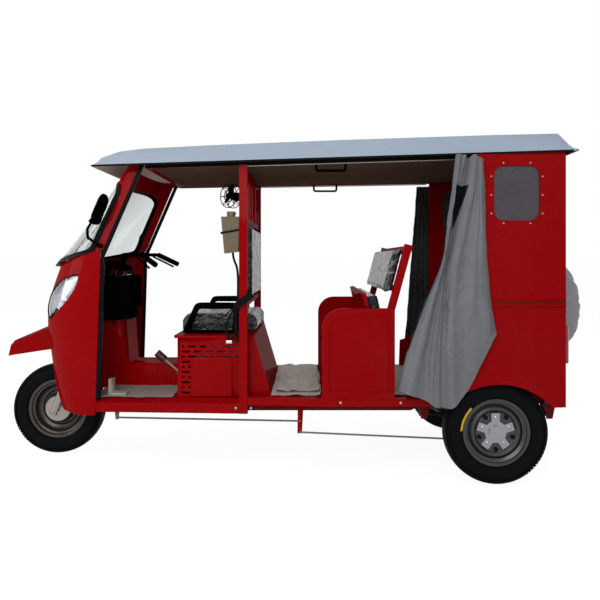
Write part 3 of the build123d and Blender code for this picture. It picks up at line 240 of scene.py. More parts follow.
def grain_group():
    """Fine unevenness of a surface: gives a height."""
    group, start, end = new_group("fine_grain", [("Scale", FLOAT, 400.0), ("Waviness", FLOAT, 0.0)],
                                  [("Height", FLOAT)])
    place = add_node(group, "ShaderNodeTexCoord").outputs["Object"]
    grain = noise(group, place, start.outputs["Scale"], 3.0)
    height = math_node(group, "MULTIPLY_ADD", noise(group, place, 4.0, 1.0), start.outputs["Waviness"], grain)
    group.links.new(height, end.inputs["Height"])
    return group


def weave_group():
    """Crossing threads, in metres on the cloth's own map: gives a height and a shade."""
    group, start, end = new_group("weave", [("Thread Size", FLOAT, 0.002)], [("Height", FLOAT), ("Shade", FLOAT)])
    cloth = add_node(group, "ShaderNodeUVMap")
    turns = math_node(group, "DIVIDE", 2 * math.pi, start.outputs["Thread Size"])
    axes = add_node(group, "ShaderNodeSeparateXYZ", [("Vector", cloth.outputs[0])])
    rows = [math_node(group, "SINE", math_node(group, "MULTIPLY", axes.outputs[axis], turns)) for axis in ("X", "Y")]
    cross = math_node(group, "MULTIPLY", *rows)
    shade = map_range(group, cross, From_Min=-1.0, To_Min=0.82, To_Max=1.0)
    group.links.new(cross, end.inputs["Height"])
    group.links.new(shade, end.inputs["Shade"])
    return group


def crinkle_group():
    """Sharp folds of thin film: gives a height and a mask for painted highlights on the creases."""
    group, start, end = new_group("film_crinkle", [("Scale", FLOAT, 14.0), ("Stretch", FLOAT, 2.5)],
                                  [("Height", FLOAT), ("Painted Highlights", FLOAT)])
    place = add_node(group, "ShaderNodeTexCoord")
    length = add_node(group, "ShaderNodeCombineXYZ", [("X", 0.8), ("Y", start.outputs["Stretch"]), ("Z", 3.2)])
    slanted = add_node(group, "ShaderNodeVectorRotate", [("Vector", place.outputs["Object"]),
                                                         ("Rotation", (0.35, 0.6, 0.2))], rotation_type="EULER_XYZ")
    pulled = add_node(group, "ShaderNodeVectorMath", [(0, slanted.outputs[0]), (1, length.outputs[0])],
                      operation="MULTIPLY")
    bend = add_node(group, "ShaderNodeTexNoise", [("Vector", pulled.outputs[0]), ("Scale", 9.0), ("Detail", 2.0)])
    moved = add_node(group, "ShaderNodeVectorMath", [(0, bend.outputs["Color"]), (1, (0.16, 0.16, 0.16)),
                                                     (2, pulled.outputs[0])], operation="MULTIPLY_ADD")
    cells = add_node(group, "ShaderNodeTexVoronoi", [("Vector", moved.outputs[0]),
                                                     ("Scale", start.outputs["Scale"])],
                     feature="DISTANCE_TO_EDGE")
    ridge = map_range(group, cells.outputs["Distance"], From_Max=0.22, To_Min=1.0, To_Max=0.0)
    fold = noise(group, moved.outputs[0], 26.0, 5.0)
    # The painted highlight keeps to the creases where a fold noise falls in a narrow band.
    lit = map_range(group, fold, From_Min=0.56, From_Max=0.64)
    group.links.new(math_node(group, "ADD", ridge, fold), end.inputs["Height"])
    group.links.new(math_node(group, "MULTIPLY", ridge, lit), end.inputs["Painted Highlights"])
    return group


DUST = dust_group()
GRAIN = grain_group()
WEAVE = weave_group()
CRINKLE = crinkle_group()


# %% [markdown]
# A finish starts from one Principled shader. Its constant values, such as metallic or
# coat, are set on the shader itself, and only what changes over the surface comes from
# the groups: the dusty colour, the roughness and the bump of the grain.


# %% A material from the shared groups
FINISHES = {}


def add_group(tree, group, **values):
    """Place a node group in a material and set its inputs."""
    node = tree.nodes.new("ShaderNodeGroup")
    node.node_tree = group
    for name, value in values.items():
        node.inputs[name.replace("_", " ")].default_value = value
    return node


def add_bump(material, height, strength, distance):
    """Feed a height to the shader's normal."""
    tree = material.node_tree
    shader = tree.nodes["Principled BSDF"]
    bump = add_node(tree, "ShaderNodeBump", [("Strength", strength), ("Distance", distance), ("Height", height)])
    tree.links.new(bump.outputs[0], shader.inputs["Normal"])


def finish_of(name, colour, smooth, dull, dust=(0.42, 0.38, 0.33), amount=0.08, patches=3.0, grain=400.0,
              waviness=0.0, bump=0.1, distance=0.0004, **shader_values):
    """A dusty, slightly grainy finish of one colour, put in the table."""
    material = FINISHES[name] = bpy.data.materials.new(name)
    material.use_nodes = True
    tree = material.node_tree
    shader = tree.nodes["Principled BSDF"]
    for label, value in shader_values.items():
        shader.inputs[label.replace("_", " ")].default_value = value
    surface = add_group(tree, DUST, Colour=(*colour, 1), Dust=(*dust, 1), Amount=amount, Patch_Scale=patches,
                        Smooth=smooth, Dull=dull)
    tree.links.new(surface.outputs["Colour"], shader.inputs["Base Color"])
    tree.links.new(surface.outputs["Roughness"], shader.inputs["Roughness"])
    fine = add_group(tree, GRAIN, Scale=grain, Waviness=waviness)
    add_bump(material, fine.outputs["Height"], bump, distance)
    return material


# %% [markdown]
# The finishes of this rickshaw. The red paint is glossy under a clear coat, with the faint
# waviness of pressed sheet, the roof is a duller grey-blue, and the rest follows what each
# piece is made of. The window and lamp glass stay clear and plain.

# %% Finishes
finish_of("paint_red", (0.27, 0.0004, 0.0016), 0.16, 0.26, amount=0.008, waviness=22.0, bump=0.08, grain=900.0,
          Specular_IOR_Level=0.0, Coat_Weight=0.07, Coat_Roughness=0.06)
finish_of("frame_red_oxide", (0.12, 0.001, 0.002), 0.4, 0.6, amount=0.05, Specular_IOR_Level=0.08)
finish_of("paint_roof", (0.325, 0.385, 0.46), 0.34, 0.5, dust=(0.44, 0.46, 0.49), amount=0.35, patches=1.6,
          waviness=24.0, Specular_IOR_Level=0.2)
finish_of("liner_beige", (0.115, 0.068, 0.042), 0.85, 0.95, grain=260.0, bump=0.5, distance=0.001,
          Specular_IOR_Level=0.0)
finish_of("lamp_red", (0.30, 0.004, 0.004), 0.08, 0.2, amount=0.03, Coat_Weight=0.3)
finish_of("rubber_black", (0.003, 0.003, 0.0035), 0.45, 0.62, dust=(0.03, 0.03, 0.03), amount=0.05, bump=0.2,
          Specular_IOR_Level=0.05)
finish_of("plastic_black", (0.0015, 0.0015, 0.0018), 0.34, 0.5, dust=(0.02, 0.02, 0.02), amount=0.03, grain=1500.0,
          bump=0.25, Specular_IOR_Level=0.0)
finish_of("plastic_beige", (0.15, 0.115, 0.066), 0.42, 0.6, amount=0.15, Specular_IOR_Level=0.15)
finish_of("axle_black", (0.010, 0.010, 0.011), 0.45, 0.7, dust=(0.10, 0.09, 0.08), amount=0.15,
          Specular_IOR_Level=0.1)
finish_of("cast_alloy", (0.24, 0.25, 0.27), 0.35, 0.5, amount=0.1, grain=700.0, bump=0.3, Metallic=0.8)
finish_of("exhaust_steel", (0.03, 0.027, 0.025), 0.5, 0.7, amount=0.25, bump=0.3, Specular_IOR_Level=0.2)
finish_of("zinc_plate", (0.30, 0.28, 0.25), 0.30, 0.48, amount=0.10, Metallic=0.85)
finish_of("tyre_black", (0.0022, 0.0027, 0.0035), 0.5, 0.7, dust=(0.02, 0.02, 0.02), amount=0.06, grain=1100.0,
          bump=0.3, Specular_IOR_Level=0.05)
finish_of("rim_grey", (0.062, 0.056, 0.050), 0.30, 0.40, amount=0.04, bump=0.03, Metallic=0.7, Specular_IOR_Level=0.3)
finish_of("rim_dark", (0.050, 0.050, 0.052), 0.28, 0.40, amount=0.03, bump=0.03, Metallic=0.75,
          Specular_IOR_Level=0.3)
finish_of("hub_silver", (0.27, 0.275, 0.29), 0.16, 0.28, amount=0.03, bump=0.04, Metallic=0.85)
finish_of("window_film", (0.062, 0.050, 0.060), 0.26, 0.42, dust=(0.16, 0.15, 0.16), amount=0.12, waviness=40.0,
          bump=0.15, Specular_IOR_Level=0.2)
finish_of("chrome", (0.62, 0.63, 0.66), 0.08, 0.16, amount=0.02, bump=0.02, Metallic=1.0)
finish_of("mirror_glass", (0.10, 0.09, 0.095), 0.03, 0.06, amount=0.03, bump=0.01, Metallic=1.0)
finish_of("lamp_bowl", (0.46, 0.49, 0.53), 0.10, 0.18, dust=(0.10, 0.11, 0.13), amount=0.75, patches=17.0,
          waviness=60.0, bump=0.25, distance=0.003, Metallic=0.95)
finish_of("knob_maroon", (0.055, 0.003, 0.004), 0.2, 0.35, amount=0.05, Specular_IOR_Level=0.4)
finish_of("eave_cream", (0.72, 0.64, 0.58), 0.8, 0.9, amount=0.08, Specular_IOR_Level=0.05)
finish_of("rod_dark", (0.10, 0.088, 0.072), 0.4, 0.6, amount=0.2, Metallic=0.6)
finish_of("label_yellow", (0.60, 0.36, 0.015), 0.5, 0.7, amount=0.1, Specular_IOR_Level=0.1)
finish_of("webbing_black", (0.005, 0.005, 0.006), 0.7, 0.85, dust=(0.03, 0.03, 0.03), amount=0.08, grain=1600.0,
          bump=0.8, Specular_IOR_Level=0.05)
finish_of("pedal_grey", (0.30, 0.265, 0.215), 0.5, 0.7, amount=0.25, Specular_IOR_Level=0.2)
finish_of("brass_cap", (0.22, 0.135, 0.035), 0.4, 0.6, amount=0.2, Metallic=0.4)


def clear_finish(name, tint, roughness):
    """Clear glass or lens plastic, thin enough to look straight through."""
    material = FINISHES[name] = bpy.data.materials.new(name)
    material.use_nodes = True
    shader = material.node_tree.nodes["Principled BSDF"]
    shader.inputs["Base Color"].default_value = (*tint, 1)
    shader.inputs["Roughness"].default_value = roughness
    shader.inputs["IOR"].default_value = 1.45
    shader.inputs["Transmission Weight"].default_value = 1.0
    fine = add_group(material.node_tree, GRAIN, Scale=3.0, Waviness=0.0)
    add_bump(material, fine.outputs["Height"], 0.01, 0.0002)


clear_finish("glass_clear", (0.68, 0.73, 0.71), 0.02)
clear_finish("lamp_lens", (0.95, 0.96, 0.98), 0.03)


# %% Cloth and wrapped vinyl finishes
def cloth_finish(name, colour, thread, smooth=0.55, dull=0.75):
    """Coated cloth: the dusty colour darkened between the threads."""
    material = finish_of(name, colour, smooth, dull, dust=(0.42, 0.42, 0.42), amount=0.12, patches=5.0)
    tree = material.node_tree
    shader = tree.nodes["Principled BSDF"]
    threads = add_group(tree, WEAVE, Thread_Size=thread)
    surface = shader.inputs["Base Color"].links[0].from_socket
    tree.links.new(mix_colour(tree, 1.0, surface, threads.outputs["Shade"], blend_type="MULTIPLY"),
                   shader.inputs["Base Color"])
    add_bump(material, threads.outputs["Height"], 0.25, 0.0005)
    shader.inputs["Sheen Weight"].default_value = 0.15


def film_finish(name, colour, highlight_colour, scale, stretch, share):
    """Dark vinyl under crinkled clear film, with pale highlights painted on its creases."""
    material = finish_of(name, colour, 0.18, 0.4, amount=0.1)
    tree = material.node_tree
    shader = tree.nodes["Principled BSDF"]
    folds = add_group(tree, CRINKLE, Scale=scale, Stretch=stretch)
    surface = shader.inputs["Base Color"].links[0].from_socket
    part = math_node(tree, "MULTIPLY", folds.outputs["Painted Highlights"], share)
    tree.links.new(mix_colour(tree, part, surface, (*highlight_colour, 1)), shader.inputs["Base Color"])
    add_bump(material, folds.outputs["Height"], 0.6, 0.004)
    shader.inputs["Specular IOR Level"].default_value = 0.12
    shader.inputs["Coat Weight"].default_value = 0.16
    shader.inputs["Coat Roughness"].default_value = 0.06


cloth_finish("curtain_grey", (0.125, 0.130, 0.138), 0.0024)
cloth_finish("curtain_near_black", (0.012, 0.0115, 0.0105), 0.0024)
cloth_finish("cover_grey", (0.29, 0.285, 0.31), 0.0030)
cloth_finish("curtain_darker_rear", (0.082, 0.086, 0.092), 0.0024)
# Both films get painted highlights on their creases.
film_finish("vinyl_black", (0.012, 0.013, 0.020), (0.52, 0.51, 0.49), 30.0, 2.2, 0.70)
# The paler film is painted light, for the sides of the seats that face the lamps.
film_finish("film_painted_lit", (0.16, 0.155, 0.15), (0.80, 0.77, 0.70), 26.0, 2.2, 0.95)
cloth_finish("floor_cloth", (0.22, 0.175, 0.148), 0.0030)
cloth_finish("floor_cloth_pale", (0.36, 0.315, 0.255), 0.0030)
for material in FINISHES.values():
    material.use_backface_culling = False
print(len(FINISHES), "finishes")

# %% [markdown]
# Every imported piece first gets the finish of its own slot. A few pieces that show closely
# are then replaced by a dressed copy: the same shape, with its loose triangles merged, its
# edges slightly rounded, its curves shaded smooth and its flat faces shaded flat, as pressed
# and welded sheet really is. A perfectly sharp edge is what gives a model away.


# %% Finish every imported piece
SLOT_OF = {part["node"]: part["material_slot"] for part in frame["record"]["subparts"]}
BODY_OF = {node: body for body, names in frame["record"]["behaviour"]["bodies"].items() for node in names}
for node, piece in frame["nodes"].items():
    piece.data.materials.clear()
    piece.data.materials.append(FINISHES[SLOT_OF[node]])


# %% Tools for pieces
def only(piece):
    """Select one piece alone and make it active."""
    bpy.ops.object.select_all(action="DESELECT")
    piece.hide_set(False)
    piece.hide_viewport = False
    piece.select_set(True)
    bpy.context.view_layer.objects.active = piece


def apply_all(piece):
    """Apply every modifier, then the piece's place, turn and scale."""
    only(piece)
    for modifier in list(piece.modifiers):
        bpy.ops.object.modifier_apply(modifier=modifier.name)
    bpy.ops.object.transform_apply(location=True, rotation=True, scale=True)


def modify(piece, name, kind, **settings):
    """Add a modifier with its settings."""
    modifier = piece.modifiers.new(name, kind)
    for label, value in settings.items():
        setattr(modifier, label, value)


def press_clouds(piece, name, size, depth, strength, level=0.5):
    """Press cloud-shaped wrinkles into a sheet or a pad."""
    clouds = bpy.data.textures.new(name, "CLOUDS")
    clouds.noise_scale = size
    clouds.noise_depth = depth
    modify(piece, "wrinkles", "DISPLACE", texture=clouds, texture_coords="LOCAL", strength=strength, mid_level=level)


def smooth(piece, degrees=35):
    """Shade smooth up to an angle between faces."""
    only(piece)
    bpy.ops.object.shade_smooth_by_angle(angle=math.radians(degrees))


def keep(piece, name, body, slot, replaced=(), finish=None):
    """Name a finished piece, give it its finish and let it ride on its body."""
    apply_all(piece)
    piece.name = name
    piece.data.materials.clear()
    piece.data.materials.append(finish or FINISHES[slot])
    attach(piece, body)
    if replaced:
        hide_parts(*replaced)
    return piece


def merge_and_point_out():
    """Merge doubles and turn all faces outward, for the piece in edit mode."""
    bpy.ops.mesh.select_all(action="SELECT")
    bpy.ops.mesh.remove_doubles(threshold=0.00002)
    bpy.ops.mesh.normals_make_consistent(inside=False)


def solid_copy(node):
    """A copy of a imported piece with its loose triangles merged."""
    piece = frame["nodes"][node].copy()
    piece.data = piece.data.copy()
    for key in [k for k in piece.keys() if k.startswith("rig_")]:
        del piece[key]
    bpy.context.scene.collection.objects.link(piece)
    piece.hide_render = False
    only(piece)
    bpy.ops.object.mode_set(mode="EDIT")
    merge_and_point_out()
    bpy.ops.object.mode_set(mode="OBJECT")
    return piece


def dressed_copy(node, bevel, degrees):
    """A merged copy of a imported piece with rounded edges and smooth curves."""
    piece = solid_copy(node)
    if bevel:
        modify(piece, "edges", "BEVEL", width=bevel, segments=2, limit_method="ANGLE",
               angle_limit=math.radians(degrees), use_clamp_overlap=True)
    keep(piece, node + "_dressed", BODY_OF[node], SLOT_OF[node], [node])
    smooth(piece, degrees)
    modify(piece, "flat faces first", "WEIGHTED_NORMAL", mode="FACE_AREA", weight=100, keep_sharp=True)
    only(piece)
    bpy.ops.object.modifier_apply(modifier="flat faces first")
    return piece


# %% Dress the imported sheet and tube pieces
dressed = {
    "nose_shell": 0.0, "windscreen_frame": 0.0, "windscreen_seal": 0.0, "windscreen_glass": 0.0,
    "door_seals": 0.004, "wheel_housing": 0.0, "dash_panel": 0.0015, "roof_shell": 0.0, "roof_frame": 0.003,
    "driver_seat_base": 0.0, "middle_bench": 0.002, "fold_seat_pan": 0.0015, "rear_side_left": 0.0,
    "rear_side_right": 0.0, "rear_wall": 0.0, "side_sills": 0.003, "floor_deck": 0.0, "front_mudguard": 0.0015,
    "front_fork": 0.0, "handlebar": 0.0, "chassis_frame": 0.0, "coolant_tank": 0.006, "mirrors": 0.0,
    "front_rim": 0.0, "rear_left_hub_cover": 0.002, "rear_right_hub_cover": 0.002, "rear_axle": 0.0,
    "leaf_springs": 0.0, "tail_lamps": 0.0, "grab_handles": 0.0, "driver_controls": 0.0, "brake_linkage": 0.0,
    "drive_shaft": 0.0, "fan_cage": 0.0, "fan_blades": 0.0, "exhaust": 0.0,
}
shown = {}
for node, bevel in dressed.items():
    shown[node] = dressed_copy(node, bevel, 14 if node.startswith("rear_side") else 35)
print(len(dressed), "pieces dressed")


# %% Second finishes on dressed pieces
def second_finish(node, finish, wanted):
    """Give the faces that a test wants on a dressed piece another finish."""
    piece = shown[node]
    piece.data.materials.append(FINISHES[finish])
    place = len(piece.data.materials) - 1
    count = 0
    for face in piece.data.polygons:
        if wanted(face):
            face.material_index = place
            count += 1
    print(node, finish, count, "faces")


# %% [markdown]
# A few dressed pieces come nearer to the photo by small moves: slimmer mirror heads, a
# higher mudguard with a shorter tip, a lower gear lever with a bigger knob, and hub covers
# turned so that the nuts sit in their lobes.

# %% Small moves and second finishes
mirror_line_x, mirror_low_z, mirror_lean, mirror_thin = -1.006, 1.385, 0.385, 0.42
for vertex in shown["mirrors"].data.vertices:
    rise = vertex.co.z - mirror_low_z
    if rise > 0:
        line_x = mirror_line_x + rise * mirror_lean
        narrow = 1 + (mirror_thin - 1) * min(1, rise / 0.02)
        vertex.co.x = line_x + (vertex.co.x - line_x) * narrow
second_finish("mirrors", "mirror_glass", lambda face: face.normal.x > 0.93 and face.center.z > 1.40)
beak_root_x, beak_tip_x, beak_rise, tip_share = -1.40, -1.690, 0.022, 0.3
for vertex in shown["front_mudguard"].data.vertices:
    ahead = min(1, max(0, (beak_root_x - vertex.co.x) / 0.10))
    above = min(1, max(0, (vertex.co.z - 0.600 - (vertex.co.x + 1.70) * 0.21) / 0.05))
    vertex.co.z += beak_rise * ahead * above
    if vertex.co.x < beak_tip_x:
        vertex.co.x = beak_tip_x + (vertex.co.x - beak_tip_x) * tip_share
lever_front_x, lever_drop, lever_shift = -0.85, 0.060, -0.10
knob_low_z, knob_growth = 0.635, 1.35
for vertex in shown["driver_controls"].data.vertices:
    if vertex.co.x > lever_front_x:
        vertex.co.z -= lever_drop
        vertex.co.y += lever_shift
knob = [vertex for vertex in shown["driver_controls"].data.vertices
        if vertex.co.x > lever_front_x and vertex.co.z > knob_low_z - lever_drop]
knob_middle = sum((vertex.co for vertex in knob), Vector()) / len(knob)
for vertex in knob:
    vertex.co = knob_middle + (vertex.co - knob_middle) * knob_growth
turn = math.radians(18)
for node in ("rear_left_hub_cover", "rear_right_hub_cover"):
    low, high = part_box(node)
    axle = (low + high) / 2
    for vertex in shown[node].data.vertices:
        x, z = vertex.co.x - axle.x, vertex.co.z - axle.z
        vertex.co.x = axle.x + x * math.cos(turn) - z * math.sin(turn)
        vertex.co.z = axle.z + x * math.sin(turn) + z * math.cos(turn)
eave_rear_x, lip_front_x, fork_black_z = -0.78, 1.46, 0.88
second_finish("roof_shell", "eave_cream", lambda face: face.normal.z < -0.2 and face.center.x < eave_rear_x)
second_finish("roof_shell", "rubber_black", lambda face: face.normal.z < -0.2 and face.center.x > lip_front_x)
second_finish("front_fork", "plastic_black", lambda face: face.center.z > fork_black_z)
shown["brake_linkage"].data.materials[0] = FINISHES["rod_dark"]
second_finish("brake_linkage", "paint_red", lambda face: 0.05 < face.center.x < 0.11)
shown["driver_controls"].data.materials[0] = FINISHES["pedal_grey"]
second_finish("driver_controls", "knob_maroon",
              lambda face: face.center.z > 0.630 - lever_drop and face.center.x > lever_front_x)

# %% [markdown]
# A tyre is turned, as on a wheel: one profile of its section is spun round the axle in edit
# mode. The tread is then cut as real blocks: the faces of the crown are inset one by one
# and pushed inward between them, so the blocks stand up to the tyre's full size. The
# profile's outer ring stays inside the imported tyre, because the looks never change a size.


# %% Turning a profile
def turned(profile, centre, steps):
    """Spin a section of (radius, side) points round an axle along Y, through a centre."""
    bpy.ops.object.select_all(action="DESELECT")
    bpy.ops.mesh.primitive_plane_add(size=1)
    piece = bpy.context.object
    bpy.ops.object.mode_set(mode="EDIT")
    bpy.ops.mesh.select_mode(type="VERT")
    bpy.ops.mesh.merge(type="CENTER")
    bpy.ops.mesh.select_all(action="SELECT")
    first = Vector((centre[0], centre[1] + profile[0][1], centre[2] + profile[0][0]))
    bpy.ops.transform.translate(value=first)
    for (r0, y0), (r1, y1) in zip(profile, profile[1:]):
        bpy.ops.mesh.extrude_region_move(TRANSFORM_OT_translate={"value": (0, y1 - y0, r1 - r0)})
    bpy.ops.mesh.select_all(action="SELECT")
    bpy.ops.mesh.spin(steps=steps, angle=2 * math.pi, center=centre, axis=(0, 1, 0))
    merge_and_point_out()
    bpy.ops.object.mode_set(mode="OBJECT")
    return piece


def select_faces(piece, wanted):
    """Select in edit mode the faces that a test on centre and normal wants."""
    bpy.ops.object.mode_set(mode="EDIT")
    bpy.ops.mesh.select_mode(type="FACE")
    bpy.ops.mesh.select_all(action="DESELECT")
    bpy.ops.object.mode_set(mode="OBJECT")
    for face in piece.data.polygons:
        face.select = wanted(face)
    bpy.ops.object.mode_set(mode="EDIT")


# %% Tyres with block tread
tyre_low, tyre_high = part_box("rear_left_tyre")
tyre_radius = (tyre_high.z - tyre_low.z) / 2
tyre_half = (tyre_high.y - tyre_low.y) / 2
tread_depth = 0.007
tread_gap = 0.0024
tread_steps = 84
bead_radius = 0.180
rim_flange_y = 0.0375
shoulder_drop = 0.013


def tyre_profile():
    """Section from bead to bead, with two raised rings on each wall."""
    crown = tyre_radius - tread_depth
    right = [(bead_radius - 0.012, rim_flange_y), (bead_radius, rim_flange_y), (bead_radius + 0.004, 0.049),
             (bead_radius + 0.010, 0.0545), (bead_radius + 0.013, 0.0525), (bead_radius + 0.024, tyre_half - 0.0025),
             (bead_radius + 0.040, tyre_half - 0.0008), (bead_radius + 0.052, tyre_half - 0.0008),
             (bead_radius + 0.055, tyre_half - 0.003), (crown - shoulder_drop - 0.006, tyre_half - 0.0065),
             (crown - shoulder_drop + 0.006, tyre_half - 0.012), (crown - 0.0035, tyre_half * 0.60),
             (crown - 0.0008, tyre_half * 0.30), (crown, tyre_half * 0.05)]
    return right + [(r, -y) for r, y in reversed(right)]


def treaded_tyre(name, node):
    """A tyre turned in the place of a packed one, with its crown cut into blocks."""
    low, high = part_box(node)
    centre = (low + high) / 2
    piece = turned(tyre_profile(), centre, tread_steps)
    crown = tyre_radius - tread_depth - shoulder_drop

    def on_crown(face):
        off = Vector((face.center.x - centre.x, 0, face.center.z - centre.z)).length
        return off > crown - 0.004 and abs(face.center.y - centre.y) < tyre_half - 0.006

    select_faces(piece, on_crown)
    bpy.ops.mesh.inset(thickness=tread_gap / 2, depth=0.0, use_individual=True, use_boundary=True)
    bpy.ops.mesh.extrude_region_shrink_fatten(TRANSFORM_OT_shrink_fatten={"value": tread_depth * 0.97})
    bpy.ops.mesh.select_all(action="SELECT")
    bpy.ops.mesh.normals_make_consistent(inside=False)
    bpy.ops.object.mode_set(mode="OBJECT")
    keep(piece, name, BODY_OF[node], "tyre_black", [node])
    smooth(piece, 28)
    print(name, len(piece.data.polygons), "faces")


for wheel in ("front", "rear_left", "rear_right"):
    treaded_tyre(wheel + "_tyre_treaded", wheel + "_tyre")

# %% Rear rims
def turned_rim(name, node):
    """A rolled rim and its pressed disc, turned in the place of a packed one."""
    low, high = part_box(name + "_tyre")
    centre = (low + high) / 2
    outer = math.copysign(1, centre.y)
    barrel = [(0.178, 0.043), (0.178, 0.038), (0.1655, 0.038), (0.1655, 0.028), (0.147, 0.018), (0.147, -0.018),
              (0.1655, -0.028), (0.1655, -0.038), (0.178, -0.038), (0.178, -0.043), (0.1605, -0.043),
              (0.1605, -0.031), (0.142, -0.021), (0.142, 0.021), (0.1605, 0.031), (0.1605, 0.043), (0.178, 0.043)]
    disc = [(0.020, 0.014), (0.104, 0.014), (0.117, 0.030), (0.127, 0.030), (0.1445, 0.014), (0.1445, 0.007),
            (0.125, 0.023), (0.119, 0.023), (0.107, 0.007), (0.020, 0.007), (0.020, 0.014)]
    ring = turned(barrel, centre, 96)
    plate = turned([(r, y * outer) for r, y in disc], centre, 96)
    only(ring)
    plate.select_set(True)
    bpy.ops.object.join()
    modify(ring, "rolled edges", "BEVEL", width=0.0018, segments=3, limit_method="ANGLE",
           angle_limit=math.radians(25))
    keep(ring, name + "_rim_turned", BODY_OF[node], SLOT_OF[node], [node])
    smooth(ring, 25)


for wheel in ("rear_left", "rear_right"):
    turned_rim(wheel, wheel + "_rim")

# %% [markdown]
# Nuts, bolts and rivets repeat all over a vehicle. One round-headed stud is modelled from
# a short cylinder whose outer face is inset and pulled out, and each place gets a copy
# with its own mesh. The copies on one body are joined, so that they stay one piece.


# %% Studs and nuts
def stud(radius, height, sides=12):
    """One round-headed stud standing on the origin, its head toward plus Z."""
    bpy.ops.object.select_all(action="DESELECT")
    bpy.ops.mesh.primitive_cylinder_add(vertices=sides, radius=radius, depth=height * 0.6,
                                        location=(0, 0, height * 0.3))
    piece = bpy.context.object
    select_faces(piece, lambda face: face.normal.z > 0.9)
    bpy.ops.mesh.inset(thickness=radius * 0.35, depth=height * 0.3)
    bpy.ops.mesh.inset(thickness=radius * 0.3, depth=height * 0.1)
    bpy.ops.object.mode_set(mode="OBJECT")
    return piece


def copy_of(pattern):
    """A copy of a pattern with its own mesh."""
    one = pattern.copy()
    one.data = pattern.data.copy()
    bpy.context.scene.collection.objects.link(one)
    return one


def join_copies(pattern, copies):
    """Remove a pattern and join its copies to one piece."""
    bpy.data.objects.remove(pattern)
    bpy.ops.object.select_all(action="DESELECT")
    for one in copies:
        one.select_set(True)
    bpy.context.view_layer.objects.active = copies[0]
    if len(copies) > 1:
        bpy.ops.object.join()
    return bpy.context.object


def studs(name, places, facing, radius, height, body, slot, sides=12):
    """Copies of one stud at places, facing one direction, joined to one piece."""
    pattern = stud(radius, height, sides)
    turn = Vector((0, 0, 1)).rotation_difference(Vector(facing))
    copies = []
    for place in places:
        one = copy_of(pattern)
        one.rotation_mode = "QUATERNION"
        one.rotation_quaternion = turn
        one.location = place
        copies.append(one)
    joined = keep(join_copies(pattern, copies), name, body, slot)
    smooth(joined, 35)
    return joined


def ring_of(centre, radius, count, first_turn=0.0):
    """Places on a circle round an axle along Y."""
    turns = [first_turn + 2 * math.pi * k / count for k in range(count)]
    return [(centre[0] + radius * math.sin(t), centre[1], centre[2] + radius * math.cos(t)) for t in turns]


nut_circle = 0.074
for side, name in ((-1, "rear_left"), (1, "rear_right")):
    low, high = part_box(name + "_hub_cover")
    face_y = low.y if side < 0 else high.y
    plate_y = face_y - side * 0.009
    middle = ((low.x + high.x) / 2, plate_y, (low.z + high.z) / 2)
    body = BODY_OF[name + "_hub_cover"]
    studs(name + "_wheel_nuts", ring_of(middle, nut_circle, 5), (0, side, 0), 0.0125, 0.009, body, "hub_silver", 6)
    # Black discs in the notches of the cover stand for the disc's vent holes: painted shade where the holes would
    # show the dark inside of the wheel.
    studs(name + "_vent_shade_discs", ring_of((middle[0], middle[1] + side * -0.0015, middle[2]), 0.092, 5, math.pi / 5),
          (0, side, 0), 0.011, 0.0016, body, "rubber_black", 16)
    studs(name + "_hub_studs", ring_of((middle[0], face_y - side * 0.0002, middle[2]), 0.019, 5, 0.6), (0, side, 0),
          0.004, 0.0016, body, "hub_silver", 8)

side_wall_y = 0.600
side_front, side_rear = 1.094, 1.333
window_top_z, window_low_z = 1.676, 1.390
rivet_off = 0.014
for side in (-1, 1):
    rivet_places = [(x, side * side_wall_y, z) for x, z in (
        (side_front + 0.05, window_top_z + rivet_off), (side_rear - 0.05, window_top_z + rivet_off),
        (side_front - rivet_off, 1.62), (side_front - rivet_off, 1.523), (side_front - rivet_off, 1.427),
        (side_front + 0.05, window_low_z - rivet_off), (side_rear - 0.05, window_low_z - rivet_off),
        (side_rear + rivet_off, 1.62), (side_rear + rivet_off, 1.523), (side_rear + rivet_off, 1.427))]
    studs("window_rivets_" + ("left" if side < 0 else "right"), rivet_places, (0, side, 0), 0.0042, 0.0024,
          "chassis", "zinc_plate", 8)

# %% [markdown]
# The curtain is one sheet of coated cloth, tied in two bunches under the roof, with its
# lower front corner blown forward and its rear edge folded back. A hanging cloth is ruled
# by its folds, so the sheet is drawn by nine fold lines from rod to hem, each a smooth line
# through a few points, and the grid between them follows a smooth curve across the lines.
# One side is grey and the other near black, so a thin second layer gets its own finish.


# %% Smooth lines and sheets
def curve_point(points, share):
    """A point of a smooth line through given points, at a share of its length."""
    place = share * (len(points) - 1)
    at = min(int(place), len(points) - 2)
    t = place - at
    a, b, c, d = [Vector(points[min(max(at + k, 0), len(points) - 1)]) for k in (-1, 0, 1, 2)]
    return 0.5 * (2 * b + (c - a) * t + (2 * a - 5 * b + 4 * c - d) * t ** 2 + (3 * b - a - 3 * c + d) * t ** 3)


def sheet_from_folds(folds, columns, rows, size, pleats=0, depth=0.0):
    """A grid whose columns follow fold lines, with small pleats and a cloth map in metres."""
    bpy.ops.object.select_all(action="DESELECT")
    bpy.ops.mesh.primitive_grid_add(x_subdivisions=columns, y_subdivisions=rows, size=1, calc_uvs=True)
    piece = bpy.context.object
    for vertex in piece.data.vertices:
        across = vertex.co.x + 0.5
        down = 0.5 - vertex.co.y
        line = [curve_point(fold, down) for fold in folds]
        vertex.co = curve_point(line, across)
        swing = math.sin(2 * math.pi * pleats * across + 1.6 * math.sin(2.4 * down + 0.8))
        vertex.co.y += depth * (1.25 - across) * math.copysign(abs(swing) ** 0.7, swing)
    for loop in piece.data.uv_layers.active.data:
        loop.uv = (loop.uv[0] * size[0], loop.uv[1] * size[1])
    return piece


